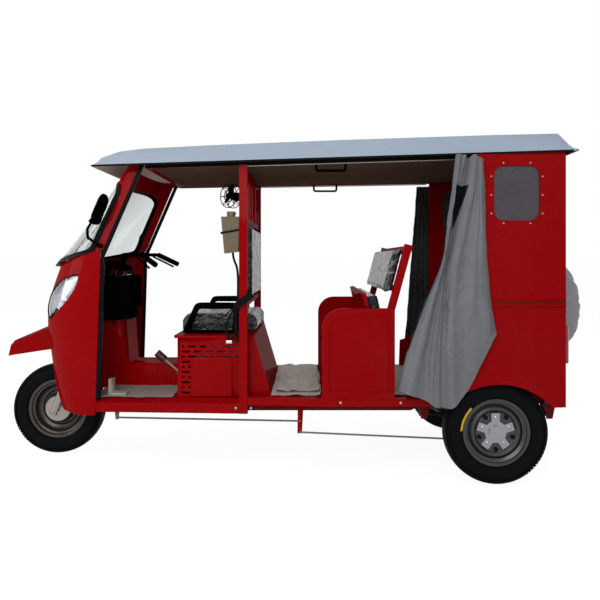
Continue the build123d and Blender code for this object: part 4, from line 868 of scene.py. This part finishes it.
def hung_sheet(piece, name, outside="curtain_grey", inside="curtain_near_black"):
    press_clouds(piece, name + "_wrinkles", 0.06, 2, 0.009)
    apply_all(piece)
    piece.data.materials.append(FINISHES[outside])
    piece.data.materials.append(FINISHES[inside])
    modify(piece, "thickness", "SOLIDIFY", thickness=0.0012, offset=0, material_offset=1, material_offset_rim=1)
    apply_all(piece)
    piece.name = name
    smooth(piece, 60)
    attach(piece, "chassis")


# %% Left curtain
crest, middle_depth, valley = -0.6495, -0.634, -0.617
left_folds = [
    [(0.889, middle_depth, 1.728), (0.868, middle_depth, 1.546), (0.840, middle_depth, 1.360),
     (0.819, middle_depth, 1.175), (0.724, -0.628, 0.953), (0.641, -0.634, 0.722), (0.586, -0.645, 0.515)],
    [(0.905, crest, 1.728), (0.884, crest, 1.546), (0.854, crest, 1.360), (0.826, -0.640, 1.175),
     (0.770, -0.633, 0.953), (0.706, -0.636, 0.700), (0.650, -0.647, 0.492)],
    [(0.940, valley, 1.728), (0.900, valley, 1.535), (0.866, valley, 1.350), (0.837, valley, 1.164),
     (0.803, valley, 0.948), (0.764, -0.622, 0.701), (0.744, -0.630, 0.455)],
    [(0.955, valley, 1.712), (0.925, valley, 1.535), (0.886, valley, 1.345), (0.848, -0.622, 1.159),
     (0.820, -0.640, 0.964), (0.789, -0.640, 0.711), (0.775, -0.646, 0.430)],
    [(0.978, crest, 1.728), (0.958, crest, 1.540), (0.915, crest, 1.340), (0.869, crest, 1.154),
     (0.832, -0.628, 0.964), (0.814, -0.634, 0.722), (0.812, -0.628, 0.425)],
    [(0.992, -0.640, 1.722), (0.980, -0.640, 1.535), (0.945, -0.640, 1.340), (0.910, -0.638, 1.154),
     (0.878, -0.640, 0.948), (0.868, -0.646, 0.696), (0.872, -0.640, 0.425)],
    [(1.010, -0.642, 1.712), (1.002, -0.641, 1.535), (0.995, -0.640, 1.340), (0.978, -0.639, 1.144),
     (0.962, -0.646, 0.938), (0.950, -0.638, 0.747), (0.940, -0.634, 0.500)],
    [(1.020, -0.645, 1.706), (1.012, -0.645, 1.546), (1.015, -0.644, 1.381), (1.012, -0.643, 1.211),
     (1.010, -0.642, 1.030), (1.040, -0.648, 0.866), (1.030, -0.636, 0.670)],
    [(1.033, valley, 1.700), (1.043, valley, 1.520), (1.046, valley, 1.329), (1.058, valley, 1.144),
     (1.069, valley, 1.000), (1.084, valley, 0.897), (1.100, -0.622, 0.804)],
]
left_sheet = sheet_from_folds(left_folds, 140, 130, (0.45, 1.30), 6, 0.009)
hung_sheet(left_sheet, "left_curtain_cloth")
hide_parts("curtain_left")
# A narrow black strip of faces between two front folds is painted shade, for the deep gap between the folds.
shade_gap_low, shade_gap_high = Vector((0.871, 0, 1.334)), Vector((0.917, 0, 1.572))
left_sheet.data.materials.append(FINISHES["webbing_black"])
left_sheet.data.materials.append(FINISHES["curtain_darker_rear"])


def darker_rear_front_x(z):
    """Front edge of the darker rear strip at one height of the left curtain."""
    return 1.012 + 0.052 * min(1, (1.72 - z) / 0.86)


for face in left_sheet.data.polygons:
    share = (face.center.z - shade_gap_low.z) / (shade_gap_high.z - shade_gap_low.z)
    middle = shade_gap_low.x + share * (shade_gap_high.x - shade_gap_low.x)
    if 0 < share < 1 and abs(face.center.x - middle) < 0.034 * share ** 0.8:
        face.material_index = 2
    # Faces behind that edge, along the rear of the curtain, get a darker grey.
    elif face.center.z > 0.80 and face.center.x > darker_rear_front_x(face.center.z):
        face.material_index = 3

# %% Right curtain
far_y = 0.6293
wave_depth = 0.013
far_lines = []
fold_count = 11
for k in range(fold_count):
    share = k / (fold_count - 1)
    depth = far_y + wave_depth * (1 if k % 2 else -1)
    far_lines.append([(0.915 + 0.105 * share, depth, 1.716), (0.893 + 0.150 * share, depth, 1.400),
                      (0.868 + 0.175 * share, depth, 1.100), (0.848 + 0.215 * share, depth, 0.816),
                      (0.812 + 0.150 * share, depth, 0.436)])
right_sheet = sheet_from_folds(far_lines, 90, 80, (0.42, 1.30))
hung_sheet(right_sheet, "right_curtain_cloth", "curtain_near_black",
           "curtain_grey")
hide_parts("curtain_right")

# %% [markdown]
# The seats are foam under vinyl, and new ones still wear their clear wrapping. Each pad
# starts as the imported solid, is remeshed evenly, shrunk a little and blown up again as
# cloth under pressure, so that its sides crown between the corners. Small wrinkles are
# pressed in afterwards, because the even mesh can't hold them before.


# %% Stuffed pads
def stuffed(node, voxel, pressure, cap, wrinkle):
    """Blow up a packed pad as cloth and press wrinkles into its film."""
    piece = solid_copy(node)
    modify(piece, "even", "REMESH", mode="VOXEL", voxel_size=voxel)
    only(piece)
    bpy.ops.object.modifier_apply(modifier="even")
    bpy.ops.object.mode_set(mode="EDIT")
    bpy.ops.mesh.select_all(action="SELECT")
    bpy.ops.transform.shrink_fatten(value=-cap * 0.62)
    bpy.ops.mesh.vertices_smooth(factor=0.5, repeat=6)
    bpy.ops.object.mode_set(mode="OBJECT")
    blow_up(piece, pressure, cap)
    press_clouds(piece, node + "_folds", 0.035, 3, wrinkle, 0.62)
    keep(piece, node + "_stuffed", BODY_OF[node], SLOT_OF[node], [node])
    smooth(piece, 60)
    print(node, "stuffed,", len(piece.data.polygons), "faces")


cloth_frames = 20


def blow_up(piece, pressure, cap):
    """Run a cloth under pressure for some frames, and cap how far each point moves."""
    before = [vertex.co.copy() for vertex in piece.data.vertices]
    cloth = piece.modifiers.new("cloth", "CLOTH")
    cloth.settings.quality = 3
    cloth.settings.mass = 0.3
    cloth.settings.tension_stiffness = 15
    cloth.settings.bending_stiffness = 2
    cloth.settings.use_pressure = True
    cloth.settings.uniform_pressure_force = pressure
    cloth.settings.effector_weights.gravity = 0
    cloth.collision_settings.use_collision = False
    for step in range(1, cloth_frames + 1):
        bpy.context.scene.frame_set(step)
    only(piece)
    bpy.ops.object.modifier_apply(modifier="cloth")
    bpy.context.scene.frame_set(1)
    for vertex, start in zip(piece.data.vertices, before):
        moved = vertex.co - start
        if moved.length > cap:
            vertex.co = start + moved * (cap / moved.length)


# %% Every seat pad
stuffed("driver_seat_cushion", 0.007, 4.0, 0.016, 0.007)
stuffed("driver_seat_back", 0.007, 4.0, 0.012, 0.005)
stuffed("fold_seat_cushion", 0.008, 4.0, 0.012, 0.006)
stuffed("middle_back_pad", 0.008, 4.0, 0.012, 0.006)
stuffed("rear_bench_cushion", 0.011, 4.0, 0.016, 0.005)
stuffed("rear_bench_back", 0.011, 4.0, 0.014, 0.005)
stuffed("driver_armrests", 0.006, 3.0, 0.004, 0.001)
stuffed("spare_wheel_cover", 0.010, 3.0, 0.014, 0.009)
# Faces that turn up, or toward the front, get the paler film: painted light on the sides that face the lamps.
painted_lit_sides = {"driver_seat_cushion": (0, 0, 1), "fold_seat_cushion": (0, 0, 1), "middle_back_pad": (-1, 0, 0)}
for node, facing in painted_lit_sides.items():
    piece = bpy.data.objects[node + "_stuffed"]
    piece.data.materials.append(FINISHES["film_painted_lit"])
    for face in piece.data.polygons:
        if face.normal.dot(Vector(facing)) > 0.72:
            face.material_index = 1

# %% [markdown]
# The headlamp is a clear lens over a silver bowl with a dark surround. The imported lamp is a
# closed almond: a copy that keeps only its outer face becomes the lens, and one whose outer
# face is pushed back inside the nose becomes the reflector. Two ringed domes are set in.


# %% Headlamps
nose_middle_x = -1.03
nose_reach = 0.35
nose_half = 0.45


def outward(place):
    """The nose's own outward direction at a place on it."""
    return Vector(((place.x - nose_middle_x) / nose_reach ** 2, place.y / nose_half ** 2, 0)).normalized()


def almond_front(side, deeper):
    """The outer face of one packed headlamp, moved inward by a depth."""
    piece = solid_copy("headlamps")
    select_faces(piece, lambda face: face.center.y * side < 0 or face.normal.dot(outward(face.center)) < 0.5)
    bpy.ops.mesh.delete(type="FACE")
    bpy.ops.object.mode_set(mode="OBJECT")
    for vertex in piece.data.vertices:
        vertex.co -= outward(vertex.co) * deeper
    return piece


def edge_bead(sheet, name, radius, slot):
    """A thin bead along the open edge of a sheet."""
    only(sheet)
    bpy.ops.object.mode_set(mode="EDIT")
    bpy.ops.mesh.select_mode(type="EDGE")
    bpy.ops.mesh.select_all(action="SELECT")
    bpy.ops.mesh.region_to_loop()
    bpy.ops.mesh.duplicate()
    bpy.ops.mesh.separate(type="SELECTED")
    bpy.ops.object.mode_set(mode="OBJECT")
    bead = [piece for piece in bpy.context.selected_objects if piece is not sheet][0]
    only(bead)
    bpy.ops.object.convert(target="CURVE")
    bead = bpy.context.object
    bead.data.bevel_depth = radius
    bead.data.bevel_resolution = 2
    bpy.ops.object.convert(target="MESH")
    keep(bpy.context.object, name, "chassis", slot)
    smooth(bpy.context.object, 60)


def lamp_ring(name, middle, facing, radius):
    """A bright ring round a small domed lens."""
    turn = Vector((0, 0, 1)).rotation_difference(facing).to_euler()
    bpy.ops.object.select_all(action="DESELECT")
    bpy.ops.mesh.primitive_torus_add(major_radius=radius, minor_radius=0.004, major_segments=40, minor_segments=8,
                                     location=middle, rotation=turn)
    ring = bpy.context.object
    bpy.ops.mesh.primitive_uv_sphere_add(segments=28, ring_count=14, radius=radius * 0.82, location=middle,
                                         rotation=turn)
    dome = bpy.context.object
    dome.scale = (1, 1, 0.2)
    ring.select_set(True)
    bpy.ops.object.join()
    keep(bpy.context.object, name, "chassis", "lamp_lens", finish=FINISHES["chrome"])
    smooth(bpy.context.object, 40)


for side, word in ((-1, "left"), (1, "right")):
    back = almond_front(side, 0.016)
    keep(back, "headlamp_reflector_" + word, "chassis", "lamp_lens", finish=FINISHES["lamp_bowl"])
    lens = almond_front(side, 0.001)
    edge_bead(lens, "headlamp_bead_" + word, 0.004, "rubber_black")
    modify(lens, "wall", "SOLIDIFY", thickness=0.0025, offset=-1)
    keep(lens, "headlamp_lens_" + word, "chassis", "lamp_lens", ["headlamps"])
    smooth(lens, 40)
    for number, (x, y, z, radius) in enumerate(((-1.225, 0.345, 1.010, 0.040), (-1.300, 0.250, 0.945, 0.030))):
        place = Vector((x, side * y, z))
        lamp_ring("headlamp_ring_" + word + str(number), place + outward(place) * 0.009, outward(place), radius)

# %% [markdown]
# Wires, straps and small boxes finish the vehicle. A wire is a curve with a round bevel,
# turned into a mesh at once. A strap is a narrow grid through a few points with a wall, so
# it lies flat where it is wanted, and a small box has all its edges rounded.


# %% Tools for wires, straps and boxes
def wire(name, points, radius, body="chassis", slot="rubber_black", finish=None):
    """A round bar along a smooth line through given points, turned into a mesh."""
    bpy.ops.object.select_all(action="DESELECT")
    bpy.ops.curve.primitive_nurbs_path_add()
    line = bpy.context.object.data
    line.splines.clear()
    path = line.splines.new("NURBS")
    path.points.add(len(points) - 1)
    for spot, place in zip(path.points, points):
        spot.co = (*place, 1)
    path.order_u = 3
    path.use_endpoint_u = True
    path.resolution_u = 8
    line.dimensions = "3D"
    line.bevel_depth = radius
    line.bevel_resolution = 3
    line.use_fill_caps = True
    bpy.ops.object.convert(target="MESH")
    piece = keep(bpy.context.object, name, body, slot, finish=finish)
    smooth(piece, 40)
    return piece


def strap(name, points, across, thick, finish=None):
    """A flat strap along given points, its width laid along one direction."""
    half = Vector(across) / 2
    edges = [[Vector(place) + half * side for place in points] for side in (-1, 1)]
    piece = sheet_from_folds(edges, 2, 6 * len(points), (half.length * 2, 1.0))
    modify(piece, "wall", "SOLIDIFY", thickness=thick, offset=0)
    keep(piece, name, "chassis", "rubber_black", finish=finish)
    smooth(piece, 40)


def small_box(name, low, high, edge, slot, finish=None):
    """A box between two corners with all its edges rounded."""
    low, high = Vector(low), Vector(high)
    bpy.ops.object.select_all(action="DESELECT")
    bpy.ops.mesh.primitive_cube_add(size=1, location=(low + high) / 2)
    piece = bpy.context.object
    piece.scale = high - low
    bpy.ops.object.transform_apply(location=False, rotation=False, scale=True)
    bpy.ops.object.mode_set(mode="EDIT")
    bpy.ops.mesh.select_all(action="SELECT")
    bpy.ops.mesh.bevel(offset=edge, segments=3, affect="EDGES")
    bpy.ops.object.mode_set(mode="OBJECT")
    keep(piece, name, "chassis", slot, finish=finish)
    smooth(piece, 30)


# %% [markdown]
# The floors are covered with beige packing cloth, laid loosely in layers. Each sheet is a
# grid whose points rise and fall by small seeded amounts, so that it is wavy but never
# lower than the floor.


# %% Floor cloths
def laid_sheet(name, low, high, floor_z, wave, seed, finish="floor_cloth_pale"):
    """A loosely laid cloth between two corners of the floor."""
    draw = random.Random(seed)
    lines = []
    for k in range(9):
        line = []
        for j in range(9):
            x = low[0] + (high[0] - low[0]) * k / 8 + draw.uniform(-0.006, 0.006)
            y = low[1] + (high[1] - low[1]) * j / 8 + draw.uniform(-0.006, 0.006)
            line.append((x, y, floor_z + 0.003 + wave * draw.random() ** 2))
        lines.append(line)
    size = (round((high[0] - low[0]) * 1.03, 3), round((high[1] - low[1]) * 1.03, 3))
    sheet = sheet_from_folds(lines, 60, 80, size)
    press_clouds(sheet, name + "_creases", 0.03, 2, 0.004)
    modify(sheet, "wall", "SOLIDIFY", thickness=0.001)
    keep(sheet, name, "chassis", "liner_beige", finish=FINISHES[finish])
    smooth(sheet, 60)


cab_floor_z, cabin_floor_z = 0.428, 0.446
for side, word in ((-1, "left"), (1, "right")):
    near, far = sorted((side * 0.425, side * 0.112))
    laid_sheet("cab_floor_cloth_" + word, (-1.07, near), (-0.62, far), cab_floor_z, 0.005, 3 + side, "floor_cloth")
laid_sheet("cabin_floor_cloth", (-0.070, -0.462), (0.196, 0.462), cabin_floor_z, 0.006, 7)
laid_sheet("cabin_floor_cloth_upper", (-0.050, -0.395), (0.190, 0.440), cabin_floor_z + 0.009, 0.010, 11)
laid_sheet("rear_floor_cloth", (0.600, -0.462), (0.985, 0.462), cabin_floor_z, 0.008, 13)

# %% [markdown]
# The seat belt is looped round the left pillar with its padded part across it, and its
# webbing hangs down beside the seat to the buckle. The header tank has its own strap, cap
# and a hose clipped down the pillar.

# %% Belt, tank strap, cap and hose
pad_low, pad_high = Vector((-0.266, -0.500, 0.933)), Vector((-0.172, -0.503, 1.001))
pad_points = [pad_low, pad_low.lerp(pad_high, 0.5) + Vector((0, -0.004, 0)), pad_high]
strap("belt_pad", pad_points, (-0.022, 0, 0.031), 0.011, finish=FINISHES["webbing_black"])
strap("belt_behind_pillar", [(-0.180, -0.500, 0.994), (-0.176, -0.470, 1.000), (-0.186, -0.440, 1.004),
                             (-0.200, -0.420, 1.010)], (-0.010, 0, 0.030), 0.003, finish=FINISHES["webbing_black"])
belt_start = (-0.262, -0.498, 0.936)
buckle = (-0.301, -0.436, 0.742)
webbing = {
    "belt_to_seat": [belt_start, (-0.33, -0.455, 0.882), (-0.42, -0.400, 0.830), (-0.524, -0.365, 0.772)],
    "belt_loop_front": [belt_start, (-0.302, -0.462, 0.870), (-0.322, -0.440, 0.800), buckle],
    "belt_loop_rear": [belt_start, (-0.266, -0.470, 0.860), (-0.272, -0.442, 0.790), (-0.292, -0.436, 0.748)],
    "belt_tail": [(-0.268, -0.492, 0.930), (-0.262, -0.470, 0.820), (-0.254, -0.440, 0.735)],
}
for name, points in webbing.items():
    strap(name, points, (0.014, -0.004, 0.004), 0.003, finish=FINISHES["webbing_black"])
small_box("belt_buckle", (-0.322, -0.445, 0.728), (-0.286, -0.427, 0.746), 0.004, "zinc_plate",
          FINISHES["chrome"])
strap("tank_strap", [(-0.365, -0.3415, 1.338), (-0.300, -0.3425, 1.348), (-0.236, -0.3415, 1.362)], (0, 0, 0.011),
      0.003)
strap("tank_strap_far", [(-0.365, -0.2685, 1.338), (-0.300, -0.2675, 1.348), (-0.236, -0.2685, 1.362)],
      (0, 0, 0.011), 0.003)
strap("tank_strap_front", [(-0.3645, -0.342, 1.338), (-0.3660, -0.305, 1.338), (-0.3645, -0.268, 1.338)],
      (0, 0, 0.011), 0.003)
cap = studs("tank_cap", [(-0.306, -0.305, 1.448)], (-0.10, 0, 1), 0.026, 0.013, "chassis", "zinc_plate", 24)
cap.data.materials[0] = FINISHES["brass_cap"]
wire("tank_hose", [(-0.300, -0.305, 1.225), (-0.296, -0.318, 1.190), (-0.266, -0.395, 1.150),
                   (-0.2535, -0.450, 1.080), (-0.2535, -0.462, 0.980), (-0.2540, -0.458, 0.860),
                   (-0.262, -0.440, 0.790), (-0.270, -0.404, 0.7665)], 0.0065)

# %% [markdown]
# Small trim: black glove boxes on the dash, a wiper on the glass, a black strip under
# the roof's edge, the pressed border of the bench panels, a bare yellow strip on the left rear
# tyre, and the black binding of the curtain's front edge.

# %% Dash boxes, wiper and black strips under the roof
roof_edge_z, rail_inset = 1.703, 0.0585


def roof_half(x):
    """Half width of the roof's frame at one place along the vehicle."""
    return 0.5 + 0.0475 * (x + 1.043)


def roof_rise(x):
    """Rise of the roof's edge toward the rear."""
    return (x + 0.45) * 0.0235


for side, word in ((-1, "left"), (1, "right")):
    y0, y1 = sorted((side * 0.243, side * 0.160))
    box_rear_x = -0.908 if side < 0 else -0.965
    small_box("glove_box_" + word, (-1.072, y0, 0.885), (box_rear_x, y1, 1.086), 0.014, "plastic_black")
    under_roof_line = [(x, side * (roof_half(x) - rail_inset), roof_edge_z + roof_rise(x) - 0.003)
           for x in (-0.76, -0.2, 0.4, 0.98, 1.44)]
    strap("black_strip_under_roof_" + word, under_roof_line, (0, 0, 0.020), 0.003)
    rod = [(x, side * (roof_half(x) - rail_inset), 1.686 + roof_rise(x)) for x in (-0.22, 0.4, 0.97)]
    wire("curtain_rod_" + word, rod, 0.003, "chassis", "zinc_plate")
    # Thin dark-red lines along the rear body, just under its ribs, are painted shadow.
    for number, z in enumerate((0.9375, 0.9645, 0.9775)):
        line = [(x, side * 0.6012, z) for x in (1.062, 1.2, 1.3, 1.466)]
        wire("rib_shadow_line_" + word + str(number), line, 0.0016, "chassis", "frame_red_oxide")
    edge = [(x, side * (roof_half(x) + 0.0005), roof_edge_z + roof_rise(x) + 0.002)
            for x in (-1.035, -0.4, 0.3, 0.95, 1.50)]
    strap("roof_lip_" + word, edge, (0, 0, 0.010), 0.002)
    panel_y = side * 0.5305
    border = [(0.237, 0.72), (0.237, 0.478), (0.237, 0.478), (0.40, 0.478), (0.555, 0.478), (0.555, 0.478),
              (0.555, 0.70), (0.555, 0.893), (0.555, 0.893), (0.45, 0.893), (0.330, 0.893), (0.250, 0.870),
              (0.237, 0.800), (0.237, 0.72)]
    wire("bench_border_" + word, [(x, panel_y, z) for x, z in border], 0.0028, "chassis", "paint_red")
wire("wiper_arm", [(-1.372, 0.03, 1.180), (-1.330, 0.03, 1.236), (-1.270, 0.03, 1.306), (-1.205, 0.02, 1.380)], 0.005)
strap("wiper_blade", [(-1.300, 0.01, 1.262), (-1.215, 0.01, 1.361), (-1.130, 0.01, 1.460)], (0, 0.012, 0), 0.012)
wire("curtain_binding", [Vector(place) + Vector((-0.001, 0, 0)) for place in left_folds[0][2:6]], 0.0024)

# %% Label strip on the left rear tyre
wheel_low, wheel_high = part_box("rear_left_tyre")
wheel_middle = (wheel_low + wheel_high) / 2
label_radius = 0.190
label_y = wheel_low.y + 0.0022
label = [(wheel_middle.x - label_radius * math.cos(math.radians(a)), label_y,
          wheel_middle.z + label_radius * math.sin(math.radians(a))) for a in (4, 12, 20, 28, 36, 44)]
label_line = wire("tyre_label_left", label, 0.0058, BODY_OF["rear_left_tyre"], "tyre_black", FINISHES["label_yellow"])
for vertex in label_line.data.vertices:
    vertex.co.y = label_y + (vertex.co.y - label_y) * 0.12

# %% [markdown]
# The steps are tread plate: rows of small raised lozenges, turned left and right in turn.
# One lozenge is modelled from a four-sided cone, and its copies follow the edge of the
# floor, which widens to the rear. Bolts hold the sills to the pillars.


# %% Tread plate and bolts
def floor_half(x):
    """Half width of the floor at one place along the vehicle."""
    if x <= -0.222:
        return 0.448 + 0.042 * (x + 1.036) / 0.814
    return 0.490 + 0.040 * min(1, (x + 0.222) / 0.422)


tread_pitch, tread_width = 0.021, 0.056


def lozenges(name, first_x, last_x, top_z, slope):
    """Raised lozenges in three rows on one pair of steps."""
    bpy.ops.object.select_all(action="DESELECT")
    bpy.ops.mesh.primitive_cone_add(vertices=4, radius1=0.0085, radius2=0.004, depth=0.0018)
    pattern = bpy.context.object
    pattern.scale = (1, 0.36, 1)
    bpy.ops.object.transform_apply(scale=True)
    copies = []
    count = int((last_x - first_x) / tread_pitch)
    for side in (-1, 1):
        for k in range(count):
            for row in (0, 1, 2):
                x = first_x + tread_pitch * (k + 0.5 * (row % 2))
                one = copy_of(pattern)
                off = 0.010 + 0.017 * row
                one.location = (x, side * (floor_half(x) - off), top_z - slope * (1 - off / tread_width) + 0.0006)
                lean = side * -math.atan2(slope, tread_width)
                one.rotation_euler = (lean, 0, math.radians(45 if (k + row) % 2 else -45))
                copies.append(one)
    keep(join_copies(pattern, copies), name, "chassis", "paint_red")


lozenges("step_tread", -1.000, -0.262, 0.428, 0.020)
lozenges("cabin_step_tread", -0.180, 0.780, 0.446, 0.0)
for side, word in ((-1, "left"), (1, "right")):
    places = [(x, side * (floor_half(x) + 0.0002), 0.387) for x in (-0.262, -0.180)]
    places += [(x, side * (floor_half(x) + 0.0002), 0.425) for x in (0.30, 0.62)]
    studs("sill_bolts_" + word, places, (0, side, 0), 0.007, 0.005, "chassis", "zinc_plate", 8)

# %% [markdown]
# The last cell measures the size of the dressed model.

# %% Size and finish
low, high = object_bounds()
